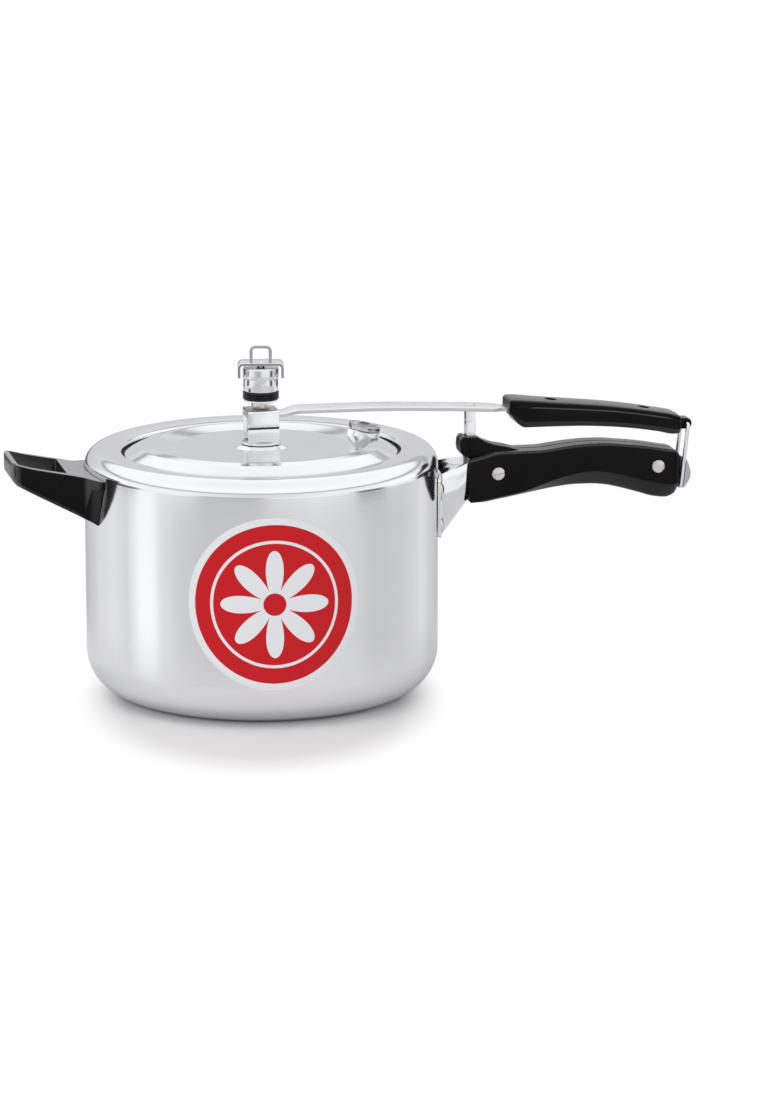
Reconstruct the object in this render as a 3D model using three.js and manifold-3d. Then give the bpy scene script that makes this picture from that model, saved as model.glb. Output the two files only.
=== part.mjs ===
// An inner-lid pressure cooker of the five litre class, in millimetres with +Z up.
// The origin is the centre of the pot's base, +X runs along the long handle, -Y is the front.
import * as THREE from 'three';
import { mergeVertices } from 'three/addons/utils/BufferGeometryUtils.js';
import Module from 'manifold-3d';

const wasm = await Module();
wasm.setup();

// Clearances
const SEAT_GAP = 0.3;
const PIN_GAP = 0.3;
const SPLIT_GAP = 0.3;
const MOUTH_GAP = 2.8;
const CURVE_GAP = 0.2;

// How far a cut runs past what it cuts
const CUT_PAST = 30;

// Facets of the round pieces
const ROUND = 52;
const SMALL_ROUND = 20;

// Pot
const POT_R = 112;
const POT_H = 156.5;
const POT_WALL = 3.25;
const POT_BASE_R = 27.5;
const POT_SHOULDER_R = 10.5;
const MOUTH_R = 86;
const MOUTH_OVAL = 2.5;
const RIM_DROP = 1;
const LIP_T = 3.2;
const LIP_ROUND = 1.2;

// Round label on the front of the pot
const LABEL_R = 54.5;
const LABEL_T = 0.4;
const LABEL_DROP = 76.5;
const LABEL_TURN = 7;

// Lid plate and sealing ring
const LID_T = 2.5;
const LID_PAD_R = 15;
const LID_PAD_RISE = 3;
const LID_DISH_R = 19;
const LID_DISH_RISE = 1.5;
const LID_EDGE_DROP = 1.5;
const LID_CREST_IN = 16.2;
const LID_CREST_RUN = 14;
const LID_CREST_TURN = 5;
const LID_CREST_SAG = 1;
const LID_RIM_RUN = 7;
const LID_RIM_SAG = 1.4;
const LID_EDGE_TURN = 1;
const LID_CREST_RISE = 4;
const LID_FLANGE_W = 7.8;
const RING_T = 3;
const RING_OVERHANG = 0.5;

// Vent tube through the lid
const TUBE_R = 4.8;
const TUBE_BORE_R = 1.6;
const TUBE_NECK_R = 3.4;
const TUBE_TIP_H = 10.7;
const TUBE_BELOW = 6.5;
const TOP_NUT_R = 6.4;
const TOP_NUT_H = 3.9;
const LOW_NUT_R = 9;
const LOW_NUT_H = 4;

// Stirrup that holds the end of the lid bar over the lid
const STIRRUP_HALF = 10;
const STIRRUP_T = 2;
const STIRRUP_H = 22.2;
const STIRRUP_PAD_R = 12.5;

// Lid bar
const BAR_T = 2.5;
const BAR_HALF = 10;
const BAR_TANG_HALF = 6.5;
const BAR_JOGGLE = 2.3;
const BAR_RAMP = 14;
const BAR_DROP = 18.1;
const BAR_TAPER = 9;
const BAR_TAPER_GAP = 2.7;
const BAR_END_GAP = 8;

// Fulcrum leg under the bar
const LEG_IN = 2.3;
const LEG_R = 3;
const LEG_HALF = 3.6;
const LEG_AXIS_RISE = 1;
const LEG_RIVET_R = 1.8;
const LEG_RIVET_DEPTH = 8;

// Lid handle
const LID_GRIP_HALF = 11;
const LID_GRIP_IN = 26.2;
const LID_GRIP_BACK = 0.4;
const LID_GRIP_H = 27;
const LID_GRIP_RISE = 0.9;
const LID_SCREW_1_IN = 28.3;
const LID_SCREW_2_BACK = 24;
const LID_SCREW_FLOOR = 1;
const LID_SCREW_HEAD_R = 3.6;
const LID_SCREW_R = 1.9;
const LID_SCREW_SINK = 2.5;
const LID_SCREW_BELOW = 3;

// Locking loop at the end of the lid handle
const LOOP_OUT = 4.5;
const LOOP_RISE = 5.6;
const LOOP_LENGTH = 41.2;
const LOOP_LEAN = 6;
const LOOP_HALF = 8.2;
const LOOP_WIRE_R = 1.3;
const LOOP_EYE_WALL = 2;
const LOOP_EYE_HALF = 4.5;
const TAB_LENGTH = 18.6;
const TAB_PAST = 0.6;
const TAB_SIDE = 1;
const TAB_BULGE = 4.2;

// Safety valve
const VALVE_IN = 10.9;
const VALVE_TURN = 14;
const VALVE_TILT = 12;
const VALVE_HEX_R = 10.6;
const VALVE_HEX_H = 4.6;
const VALVE_STEM_R = 4;
const VALVE_PLUG_R = 2.7;
const VALVE_LAND_ABOVE = 0.9;
const VALVE_LAND_BELOW = 4.4;
const VALVE_NUT_R = 6.8;
const VALVE_NUT_H = 3.5;
const VALVE_STEM_PAST = 1.2;
const VALVE_PLUG_H = 3;
const VALVE_LAND_RIM = 0.6;
const VALVE_SEAT_RISE = 0.4;

// Pressure weight
const WEIGHT_R = 11.3;
const WEIGHT_H = 22;
const WEIGHT_FLOOR_GAP = 0.6;
const WEIGHT_BORE_R = 4.4;
const BAND_H = 4.9;
const BAND_T = 1.7;
const BAND_LIP = 1.3;
const NEEDLE_R = 1.8;
const NEEDLE_COLLAR_H = 1.5;
const NEEDLE_HEAD_R = 3;
const NEEDLE_HEAD_H = 1;
const CAP_SPREAD = 14.6;
const CAP_T = 1.8;
const CAP_HALF = 8;
const CAP_TURN = -11;
const CAP_DROP = 8;
const EYE_HALF = 7;
const EYE_H = 10;
const EYE_WIRE_R = 0.95;

// Bracket of the long handle
const BRACKET_T = 2;
const BRACKET_DROP = 19;
const BRACKET_H = 38.5;
const BRACKET_FLANGE_HALF = 36;
const BRACKET_ROOT_HALF = 24;
const BRACKET_TANG_HALF = 9;
const BRACKET_TANG_IN = 0.5;
const BRACKET_TANG_LENGTH = 30;
const BRACKET_TANG_RISE = 8.4;
const BRACKET_TANG_H = 21.4;
const RIVET_R = 2.6;
const RIVET_HEAD_R = 4.4;
const RIVET_HEAD_H = 1.8;
const RIVET_HALF = 31.2;
const RIVET_EDGE = 8;

// Body handle
const GRIP_OUT = 21.5;
const GRIP_LENGTH = 140.9;
const GRIP_HALF = 12;
const GRIP_H = 38;
const GRIP_DROP = 5.9;
const HORN_REACH = 5.5;
const HORN_LENGTH = 42;
const HORN_H = 14.6;
const HORN_HALF = 7;
const HORN_RISE = 7;
const SCREW_1_IN = 18.6;
const SCREW_2_BACK = 16.3;
const SCREW_RISE = 21.4;
const SCREW_R = 2.2;
const SCREW_HEAD_R = 4.1;
const SCREW_HEAD_H = 2.6;
const NUT_R = 4.4;
const NUT_H = 3;

// Helper handle
const HELPER_ROOT = 12;
const HELPER_LENGTH = 50;
const HELPER_HALF = 27;
const HELPER_H = 43;
const HELPER_RISE = 0.5;
const HELPER_SCREW_RISE = 25.8;
const STUD_R = 5;
const STUD_LENGTH = 8;
const STUD_NECK_R = 3.6;
const STUD_HEAD_R = 6.5;
const STUD_HEAD_H = 1.6;
const STUD_FLOOR = 1;
const HELPER_SCREW_R = 2.1;
const HELPER_SCREW_HEAD_R = 3.8;
const HELPER_SCREW_HEAD_H = 2.4;
const TROUGH_IN = 16;
const TROUGH_LENGTH = 30.3;
const TROUGH_DEEP = 20.4;
const TROUGH_SHALLOW = 32.6;
const TROUGH_FLOOR_HALF = 15;
const TROUGH_MOUTH_HALF = 22.6;

// Heights that follow from the sizes above
const mouthZ = POT_H - RIM_DROP;
const lipUnderZ = mouthZ - LIP_T;
const ringTopZ = lipUnderZ - SEAT_GAP;
const flangeTopZ = ringTopZ - RING_T - SEAT_GAP;
const plugR = MOUTH_R - MOUTH_GAP;
const flangeR = plugR + LID_FLANGE_W;
const crestR = plugR - LID_CREST_IN;
const lidEdgeZ = mouthZ - LID_EDGE_DROP;
const padZ = mouthZ + LID_PAD_RISE;
const dishZ = mouthZ + LID_DISH_RISE;
const crestZ = mouthZ + LID_CREST_RISE;
const stirrupFootZ = padZ + SEAT_GAP;
const stirrupTopZ = stirrupFootZ + STIRRUP_H;
const barEndTopZ = stirrupTopZ - BAR_T - SEAT_GAP;
const barTopZ = barEndTopZ + BAR_JOGGLE;
const tubeTipZ = stirrupTopZ + TUBE_TIP_H;
const topNutZ = stirrupTopZ + SEAT_GAP;
const weightZ = topNutZ + TOP_NUT_H + WEIGHT_FLOOR_GAP;
const weightTopZ = weightZ + WEIGHT_H;
const capTopZ = weightTopZ + SEAT_GAP + NEEDLE_HEAD_H + SEAT_GAP + CAP_T;

// Places of the long handle and its hardware
const gripFront = POT_R + GRIP_OUT;
const gripLowZ = POT_H - GRIP_DROP - GRIP_H;
const hornTopZ = gripLowZ + GRIP_H + HORN_RISE;
const screwZ = gripLowZ + SCREW_RISE;
const screw1X = gripFront + SCREW_1_IN;
const gripEnd = gripFront + GRIP_LENGTH;
const screw2X = gripEnd - SCREW_2_BACK;
const legX = gripFront + LEG_IN;
const legAxisZ = hornTopZ + LEG_AXIS_RISE;
const lidGripFront = gripFront + LID_GRIP_IN;
const lidGripEnd = gripEnd - LID_GRIP_BACK;
const lidGripLength = lidGripEnd - lidGripFront;
const lidGripLowZ = barTopZ + LID_GRIP_RISE - LID_GRIP_H;
const barEndX = lidGripEnd - BAR_END_GAP;
const loopX = lidGripEnd + LOOP_OUT;
const loopZ = lidGripLowZ + LOOP_RISE;
const bracketTopZ = POT_H - BRACKET_DROP;
const bracketLowZ = bracketTopZ - BRACKET_H;
const tangX = gripFront + BRACKET_TANG_IN;
const tangEndX = tangX + BRACKET_TANG_LENGTH;
const tangLowZ = gripLowZ + BRACKET_TANG_RISE;
const tangTopZ = tangLowZ + BRACKET_TANG_H;

// Places of the helper handle
const helperLowZ = POT_H + HELPER_RISE - HELPER_H;
const helperScrewZ = helperLowZ + HELPER_SCREW_RISE;
const troughInX = -POT_R - TROUGH_IN;
const troughOutX = troughInX - TROUGH_LENGTH;

// Geometry to solid: welded, without collapsed triangles
function solid(geometry) {
  const bare = geometry.clone();
  bare.deleteAttribute('normal');
  bare.deleteAttribute('uv');
  const welded = mergeVertices(bare, 1e-4);
  const index = welded.getIndex().array;
  const kept = [];
  for (let i = 0; i < index.length; i += 3) {
    const [a, b, c] = [index[i], index[i + 1], index[i + 2]];
    if (a !== b && b !== c && c !== a) kept.push(a, b, c);
  }
  const vertProperties = new Float32Array(welded.getAttribute('position').array);
  return new wasm.Manifold(new wasm.Mesh({ numProp: 3, vertProperties, triVerts: new Uint32Array(kept) }));
}

// A matrix that carries the Z axis to a direction and the zero point to a place
function aim(place, direction = [0, 0, 1]) {
  const turn = new THREE.Quaternion();
  turn.setFromUnitVectors(new THREE.Vector3(0, 0, 1), new THREE.Vector3(...direction).normalize());
  return new THREE.Matrix4().compose(new THREE.Vector3(...place), turn, new THREE.Vector3(1, 1, 1));
}

// A turned piece about Z from a profile of [radius, height], running up its outside
function turnedGeometry(profile, segments = SMALL_ROUND) {
  const points = profile.map(([r, z]) => new THREE.Vector2(r, z));
  return new THREE.LatheGeometry(points, segments).rotateX(Math.PI / 2);
}

function turned(profile, segments = SMALL_ROUND, place = aim([0, 0, 0])) {
  return solid(turnedGeometry(profile, segments).applyMatrix4(place));
}

// A round or many-sided rod between two points
function rod(radius, from, to, segments = SMALL_ROUND) {
  const start = new THREE.Vector3(...from);
  const along = new THREE.Vector3(...to).sub(start);
  const length = along.length();
  const geometry = new THREE.CylinderGeometry(radius, radius, length, segments).rotateX(Math.PI / 2);
  geometry.translate(0, 0, length / 2);
  return solid(geometry.applyMatrix4(aim(from, along.toArray())));
}

function outline(points) {
  return new THREE.Shape(points.map(([a, b]) => new THREE.Vector2(a, b)));
}

// A plate cut to an outline in X and Z, between two Y values
function sidePlate(points, y0, y1) {
  const geometry = new THREE.ExtrudeGeometry(outline(points), { depth: y1 - y0, bevelEnabled: false });
  return solid(geometry.rotateX(Math.PI / 2).translate(0, y1, 0));
}

// A plate cut to an outline in X and Y, between two heights
function flatPlate(points, z0, z1) {
  const geometry = new THREE.ExtrudeGeometry(outline(points), { depth: z1 - z0, bevelEnabled: false });
  return solid(geometry.translate(0, 0, z0));
}

// A plate cut to an outline in Y and Z, between two X values
function crossPlate(points, x0, x1) {
  const geometry = new THREE.ExtrudeGeometry(outline(points), { depth: x1 - x0, bevelEnabled: false });
  return solid(geometry.rotateX(Math.PI / 2).rotateZ(Math.PI / 2).translate(x0, 0, 0));
}

// Stations of a moulded piece from shares of its length, half-width and height: place along it,
// half-width, underside half-width, underside, lower edge of the side and top
function stationsOf(shares, startX, length, halfWidth, lowZ, height) {
  return shares.map(([x, half, under, low, side, top]) => ({
    x: startX + length * x,
    half: halfWidth * half,
    under: halfWidth * under,
    low: lowZ + height * low,
    side: lowZ + height * side,
    top: lowZ + height * top,
  }));
}

// A moulded piece along X: one section, drawn in shares of its width and height, through stations
function moulded(section, stations) {
  const steps = stations.length - 1;
  const options = { depth: steps, steps, bevelEnabled: false };
  const geometry = new THREE.ExtrudeGeometry(outline(section), options);
  const position = geometry.getAttribute('position');
  for (let i = 0; i < position.count; i += 1) {
    const s = stations[Math.round(position.getZ(i))];
    const u = position.getX(i);
    const v = position.getY(i);
    const half = v < 1 ? s.under + (s.half - s.under) * v : s.half;
    const z = v < 1 ? s.low + (s.side - s.low) * v : s.side + (s.top - s.side) * (v - 1);
    position.setXYZ(i, s.x, u * half, z);
  }
  return solid(geometry);
}

// A slotted screw with the top of its head at a place and the head facing a direction
function slottedScrew(place, direction, headR, headH, shankR, length, roll) {
  const stand = aim(place, direction);
  const profile = [[0, -length], [shankR, -length], [shankR, -headH], [headR, -headH], [headR, -0.5],
    [headR - 0.5, 0], [0, 0]];
  const slot = new THREE.BoxGeometry(headR * 2.4, 0.9, 1.6).rotateZ(roll);
  return turned(profile, SMALL_ROUND, stand).subtract(solid(slot.applyMatrix4(stand)));
}

// A height read off a line of [x, z] points
function heightAt(line, x) {
  const next = line.findIndex(([px]) => px >= x);
  const i = Math.max(1, next < 0 ? line.length - 1 : next);
  const [[x0, z0], [x1, z1]] = [line[i - 1], line[i]];
  return z0 + (z1 - z0) * (x - x0) / (x1 - x0);
}

// Quarter arcs of a profile, from one angle to another in degrees
function arc(cx, cz, radius, from, to, steps) {
  const points = [];
  for (let i = 0; i <= steps; i += 1) {
    const angle = THREE.MathUtils.degToRad(from + (to - from) * i / steps);
    points.push([cx + radius * Math.cos(angle), cz + radius * Math.sin(angle)]);
  }
  return points;
}

// Turns a round profile oval: the radius grows along X and shrinks along Y by its share
function ovalTurned(profile, share) {
  const geometry = turnedGeometry(profile, ROUND);
  const position = geometry.getAttribute('position');
  for (let i = 0; i < position.count; i += 1) {
    const x = position.getX(i);
    const y = position.getY(i);
    const r = Math.hypot(x, y);
    if (r < 1e-6) continue;
    const grown = r + MOUTH_OVAL * share(r, position.getZ(i)) * (x * x - y * y) / (r * r);
    position.setX(i, x * grown / r);
    position.setY(i, y * grown / r);
  }
  return solid(geometry);
}

const smooth = (from, to, value) => THREE.MathUtils.smoothstep(value, from, to);

// The inside and outside of the pot's wall as full drums, for pieces that hug it
function wallDrum(radius) {
  return turned([[0, 0], [radius, 0], [radius, POT_H], [0, POT_H]], ROUND);
}

const group = new THREE.Group();
group.name = 'pressure_cooker';

const paint = (color, roughness, metalness) => ({ color, roughness, metalness });
const ALUMINIUM = paint(0xc9ccd0, 0.22, 1);
const STEEL = paint(0xd4d6d9, 0.15, 1);
const NICKEL = paint(0xc4c0b8, 0.3, 1);
const BLACK = paint(0x141416, 0.35, 0);
const RUBBER = paint(0x1b1b1d, 0.8, 0);
const RED = paint(0xc8161d, 0.45, 0);
const GREY = paint(0xb4b3b8, 0.4, 0.2);
const BRASS = paint(0xb08d4a, 0.35, 1);

function add(name, body, look) {
  const mesh = body.getMesh();
  const geometry = new THREE.BufferGeometry();
  geometry.setAttribute('position', new THREE.BufferAttribute(new Float32Array(mesh.vertProperties), 3));
  geometry.setIndex(new THREE.BufferAttribute(new Uint32Array(mesh.triVerts), 1));
  geometry.computeVertexNormals();
  const piece = new THREE.Mesh(geometry, new THREE.MeshStandardMaterial(look));
  piece.name = name;
  group.add(piece);
}

// Places of the bracket rivets and of the helper handle's stud on the wall
const rivetPlaces = [];
for (const side of [-1, 1]) {
  for (const level of ['low', 'high']) {
    const angle = side * Math.asin(RIVET_HALF / POT_R);
    const z = level === 'low' ? bracketLowZ + RIVET_EDGE : bracketTopZ - RIVET_EDGE;
    rivetPlaces.push({ side, level, z, out: [Math.cos(angle), Math.sin(angle), 0] });
  }
}
const along = (out, r, z) => [out[0] * r, out[1] * r, z];

// Pot: one drawn shell with a rounded base, straight wall and a shoulder turned in to an oval mouth
const shoulderEnd = POT_R - POT_SHOULDER_R;
const innerR = POT_R - POT_WALL;
const potProfile = [
  [0, 0],
  ...arc(POT_R - POT_BASE_R, POT_BASE_R, POT_BASE_R, -90, 0, 7),
  ...arc(shoulderEnd, POT_H - POT_SHOULDER_R, POT_SHOULDER_R, 0, 90, 5),
  [(shoulderEnd + MOUTH_R) / 2, POT_H - RIM_DROP * 0.3],
  [MOUTH_R + LIP_ROUND, mouthZ],
  [MOUTH_R, mouthZ - LIP_ROUND],
  [MOUTH_R, lipUnderZ + LIP_ROUND / 2],
  [MOUTH_R + LIP_ROUND, lipUnderZ],
  [(shoulderEnd + MOUTH_R) / 2, lipUnderZ],
  ...arc(shoulderEnd, POT_H - POT_SHOULDER_R, POT_SHOULDER_R - POT_WALL, 90, 0, 4),
  ...arc(POT_R - POT_BASE_R, POT_BASE_R, POT_BASE_R - POT_WALL, 0, -90, 6),
  [0, POT_WALL],
];
const mouthShare = (r, z) => (z > POT_H / 2 ? 1 - smooth(MOUTH_R + LIP_ROUND, shoulderEnd, r) : 0);
let pot = ovalTurned(potProfile, mouthShare);
for (const { z, out } of rivetPlaces) {
  const bore = rod(RIVET_R + PIN_GAP, along(out, innerR - CUT_PAST, z), along(out, POT_R + CUT_PAST, z),
    12);
  pot = pot.subtract(bore);
}
const helperOut = [-1, 0, 0];
pot = pot.subtract(rod(STUD_NECK_R + PIN_GAP, along(helperOut, innerR - CUT_PAST, helperScrewZ),
  along(helperOut, POT_R + CUT_PAST, helperScrewZ), 12));
add('pot_body', pot, ALUMINIUM);

// Label: a thin round sheet laid on the front of the wall
const labelTurn = THREE.MathUtils.degToRad(-90 - LABEL_TURN);
const labelOut = [Math.cos(labelTurn), Math.sin(labelTurn), 0];
const labelSheet = wallDrum(POT_R + SEAT_GAP + LABEL_T).subtract(wallDrum(POT_R + SEAT_GAP));
const labelZ = POT_H - LABEL_DROP;
const labelCut = rod(LABEL_R, [0, 0, labelZ], along(labelOut, POT_R + CUT_PAST, labelZ), 48);
add('pot_label', labelSheet.intersect(labelCut), RED);

// Bracket: a strap round the wall with two cheeks that run out and close up into the body handle
const bracketIn = POT_R + SEAT_GAP;
const strapSide = [[POT_R / 2, bracketLowZ], [POT_R + CUT_PAST, bracketLowZ],
  [POT_R + CUT_PAST, bracketTopZ],
  [POT_R / 2, bracketTopZ]];
const strapBox = sidePlate(strapSide, -BRACKET_FLANGE_HALF, BRACKET_FLANGE_HALF);
let bracket = wallDrum(bracketIn + BRACKET_T).subtract(wallDrum(bracketIn)).intersect(strapBox);
const cheekRootX = Math.sqrt((bracketIn + BRACKET_T / 2) ** 2 - BRACKET_ROOT_HALF ** 2);
const cheekSide = [[cheekRootX - BRACKET_T * 2, bracketLowZ], [cheekRootX + BRACKET_T * 2, bracketLowZ],
  [tangX, tangLowZ], [tangEndX, tangLowZ], [tangEndX, tangTopZ], [tangX, tangTopZ],
  [cheekRootX + BRACKET_T, bracketTopZ], [cheekRootX - BRACKET_T * 2, bracketTopZ]];
const cheekPlan = (side, grow) => [
  [cheekRootX - BRACKET_T / 2, side * (BRACKET_ROOT_HALF + grow)],
  [tangX, side * (BRACKET_TANG_HALF + grow)],
  [tangEndX + grow, side * (BRACKET_TANG_HALF + grow)],
  [tangEndX + grow, side * (BRACKET_TANG_HALF - BRACKET_T - grow)],
  [tangX - BRACKET_T / 2, side * (BRACKET_TANG_HALF - BRACKET_T - grow)],
  [cheekRootX - BRACKET_T / 2, side * (BRACKET_ROOT_HALF - BRACKET_T * 1.2 - grow)],
];
for (const side of [-1, 1]) {
  const cheek = flatPlate(cheekPlan(side, 0), bracketLowZ, tangTopZ);
  bracket = bracket.add(cheek.intersect(sidePlate(cheekSide, -BRACKET_FLANGE_HALF, BRACKET_FLANGE_HALF)));
}
bracket = bracket.subtract(wallDrum(bracketIn));
const crossHole = (x) => rod(SCREW_R + PIN_GAP, [x, -CUT_PAST, screwZ], [x, CUT_PAST, screwZ], 16);
bracket = bracket.subtract(crossHole(screw1X));
for (const { z, out } of rivetPlaces) {
  bracket = bracket.subtract(rod(RIVET_R + PIN_GAP, along(out, innerR, z),
    along(out, POT_R + CUT_PAST, z), 12));
}
add('handle_bracket', bracket, STEEL);

// Rivets: flat head inside the pot, domed head on the strap
const rivetIn = innerR - SEAT_GAP - CURVE_GAP;
const rivetOut = bracketIn + BRACKET_T + SEAT_GAP;
const rivetProfile = [[0, rivetIn - RIVET_HEAD_H], [RIVET_HEAD_R, rivetIn - RIVET_HEAD_H],
  [RIVET_HEAD_R, rivetIn],
  [RIVET_R, rivetIn], [RIVET_R, rivetOut], [RIVET_HEAD_R, rivetOut],
  [RIVET_HEAD_R * 0.75, rivetOut + RIVET_HEAD_H * 0.7], [0, rivetOut + RIVET_HEAD_H]];
for (const { side, level, z, out } of rivetPlaces) {
  const name = `bracket_rivet_${side < 0 ? 'front' : 'rear'}_${level}`;
  add(name, turned(rivetProfile, 14, aim([0, 0, z], out)), NICKEL);
}

// Body handle: two moulded halves that close on the bracket, with a horn that carries the lid's leg
const gripHalf = [[0, 0], [1, 0], [1, 1], [1, 1.86], [0.86, 2], [0, 2]];
const gripShares = [
  [0, 1, 0.967, 0.079, 0.105, 0.892], [0.06, 1, 0.933, 0.084, 0.126, 0.911],
  [0.138, 1, 0.833, 0.121, 0.163, 0.926],
  [0.245, 1, 0.708, 0.179, 0.229, 0.926], [0.33, 1, 0.633, 0.226, 0.337, 0.926],
  [0.415, 1, 0.583, 0.268, 0.439, 0.958],
  [0.5, 1, 0.567, 0.292, 0.511, 0.989], [0.571, 1, 0.567, 0.289, 0.537, 1],
  [0.642, 1, 0.567, 0.261, 0.511, 0.995],
  [0.713, 1, 0.583, 0.2, 0.447, 0.968], [0.798, 1, 0.6, 0.105, 0.363, 0.932],
  [0.869, 1, 0.617, 0.026, 0.295, 0.889],
  [0.926, 0.983, 0.617, 0, 0.247, 0.85], [0.965, 0.917, 0.567, 0.042, 0.237, 0.826],
  [0.982, 0.817, 0.5, 0.126, 0.258, 0.779], [0.994, 0.65, 0.417, 0.247, 0.326, 0.711],
  [1, 0.417, 0.3, 0.353, 0.405, 0.616],
];
const gripStations = stationsOf(gripShares, gripFront, GRIP_LENGTH, GRIP_HALF, gripLowZ, GRIP_H);
const hornShares = [[0.25, 0], [0.1, 0.114], [0.022, 0.341], [0, 0.568], [0.009, 0.875], [0.052, 1],
  [0.27, 1],
  [0.393, 0.78], [0.538, 0.62], [0.743, 0.5], [0.9, 0.36], [1, 0.25], [1, 0]];
const hornSide = hornShares.map(([x, z]) => [gripFront - HORN_REACH + HORN_LENGTH * x,
  hornTopZ - HORN_H * (1 - z)]);
const gripSplit = SPLIT_GAP / 2;
for (const side of [-1, 1]) {
  const section = gripHalf.map(([u, v]) => [side * u, v]);
  let half = moulded(section, gripStations);
  const [y0, y1] = side < 0 ? [-HORN_HALF, 0] : [0, HORN_HALF];
  half = half.add(sidePlate(hornSide, y0, y1));
  const splitSide = [[POT_R, 0], [gripEnd + CUT_PAST, 0],
    [gripEnd + CUT_PAST, hornTopZ + CUT_PAST], [POT_R, hornTopZ + CUT_PAST]];
  half = half.subtract(sidePlate(splitSide, -gripSplit, gripSplit));
  half = half.subtract(flatPlate(cheekPlan(side, SEAT_GAP), 0, tangTopZ + SEAT_GAP));
  const seatFrom = [legX, -LEG_HALF - SEAT_GAP, legAxisZ];
  const seatTo = [legX, LEG_HALF + SEAT_GAP, legAxisZ];
  half = half.subtract(rod(LEG_R + PIN_GAP, seatFrom, seatTo, 24));
  for (const x of [screw1X, screw2X]) {
    half = half.subtract(crossHole(x));
    const sink = side < 0 ? SCREW_HEAD_H : NUT_H;
    const recessR = (side < 0 ? SCREW_HEAD_R : NUT_R) + SEAT_GAP;
    const floorY = side * (GRIP_HALF - sink);
    half = half.subtract(rod(recessR, [x, floorY, screwZ], [x, side * (GRIP_HALF + CUT_PAST), screwZ],
      SMALL_ROUND));
  }
  add(side < 0 ? 'body_handle_front_half' : 'body_handle_rear_half', half, BLACK);
}

// Screws and nuts that clamp the two halves
const screwHeadY = -GRIP_HALF - SEAT_GAP;
const nutInnerY = GRIP_HALF - NUT_H + SEAT_GAP;
const screwLength = nutInnerY + NUT_H - screwHeadY - SEAT_GAP * 2;
for (const [name, x, roll] of [['front', screw1X, 0.1], ['rear', screw2X, 0.8]]) {
  const place = [x, screwHeadY, screwZ];
  const screw = slottedScrew(place, [0, -1, 0], SCREW_HEAD_R, SCREW_HEAD_H, SCREW_R, screwLength, roll);
  add(`body_handle_screw_${name}`, screw, NICKEL);
  const nut = rod(NUT_R, [x, nutInnerY, screwZ], [x, nutInnerY + NUT_H, screwZ], 6);
  add(`body_handle_nut_${name}`, nut.subtract(crossHole(x)), NICKEL);
}

// Helper handle: a short moulded handle with a trough on top, hugging the wall
const helperSection = [[-1, 0], [1, 0], [1, 1], [1, 1.8], [0.93, 2], [-0.93, 2], [-1, 1.8], [-1, 1]];
const helperShares = [
  [0, 1.333, 0.96, 0, 0.62, 0.726], [0.113, 1.31, 0.96, 0.014, 0.62, 0.735],
  [0.21, 1.148, 0.965, 0.095, 0.6, 0.754], [0.298, 1, 0.96, 0.163, 0.215, 0.778],
  [0.4, 0.993, 0.944, 0.242, 0.293, 0.811], [0.6, 0.985, 0.937, 0.396, 0.447, 0.868],
  [0.82, 0.967, 0.919, 0.565, 0.616, 0.935], [0.905, 0.944, 0.893, 0.633, 0.684, 0.968],
  [0.952, 0.881, 0.826, 0.67, 0.726, 0.985], [0.984, 0.763, 0.704, 0.712, 0.767, 0.99],
  [1, 0.6, 0.53, 0.749, 0.802, 0.98],
].reverse();
const helperRootX = HELPER_ROOT - POT_R;
const helperReach = HELPER_ROOT + HELPER_LENGTH;
const helperStations = stationsOf(helperShares, helperRootX, -helperReach, HELPER_HALF, helperLowZ,
  HELPER_H);
let helper = moulded(helperSection, helperStations).subtract(wallDrum(POT_R + SEAT_GAP));
const troughTopZ = POT_H + CUT_PAST;
const troughSide = [[troughOutX, troughTopZ], [troughOutX, helperLowZ + TROUGH_SHALLOW],
  [troughInX, helperLowZ + TROUGH_DEEP], [troughInX, troughTopZ]];
const troughFloorZ = helperLowZ + TROUGH_DEEP;
const troughEnd = [[-TROUGH_FLOOR_HALF, troughFloorZ], [TROUGH_FLOOR_HALF, troughFloorZ],
  [TROUGH_MOUTH_HALF, helperLowZ + HELPER_H], [TROUGH_MOUTH_HALF, troughTopZ],
  [-TROUGH_MOUTH_HALF, troughTopZ], [-TROUGH_MOUTH_HALF, helperLowZ + HELPER_H]];
const troughBlock = crossPlate(troughEnd, troughOutX - CUT_PAST, -POT_R);
helper = helper.subtract(sidePlate(troughSide, -HELPER_HALF, HELPER_HALF).intersect(troughBlock));
const studEnd = POT_R + SEAT_GAP + STUD_LENGTH;
helper = helper.subtract(rod(STUD_R + SEAT_GAP, along(helperOut, POT_R, helperScrewZ),
  along(helperOut, studEnd + SEAT_GAP, helperScrewZ)));
helper = helper.subtract(rod(HELPER_SCREW_R + PIN_GAP, along(helperOut, POT_R, helperScrewZ),
  [troughInX - SEAT_GAP, 0, helperScrewZ], 14));
add('helper_handle', helper, BLACK);

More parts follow.
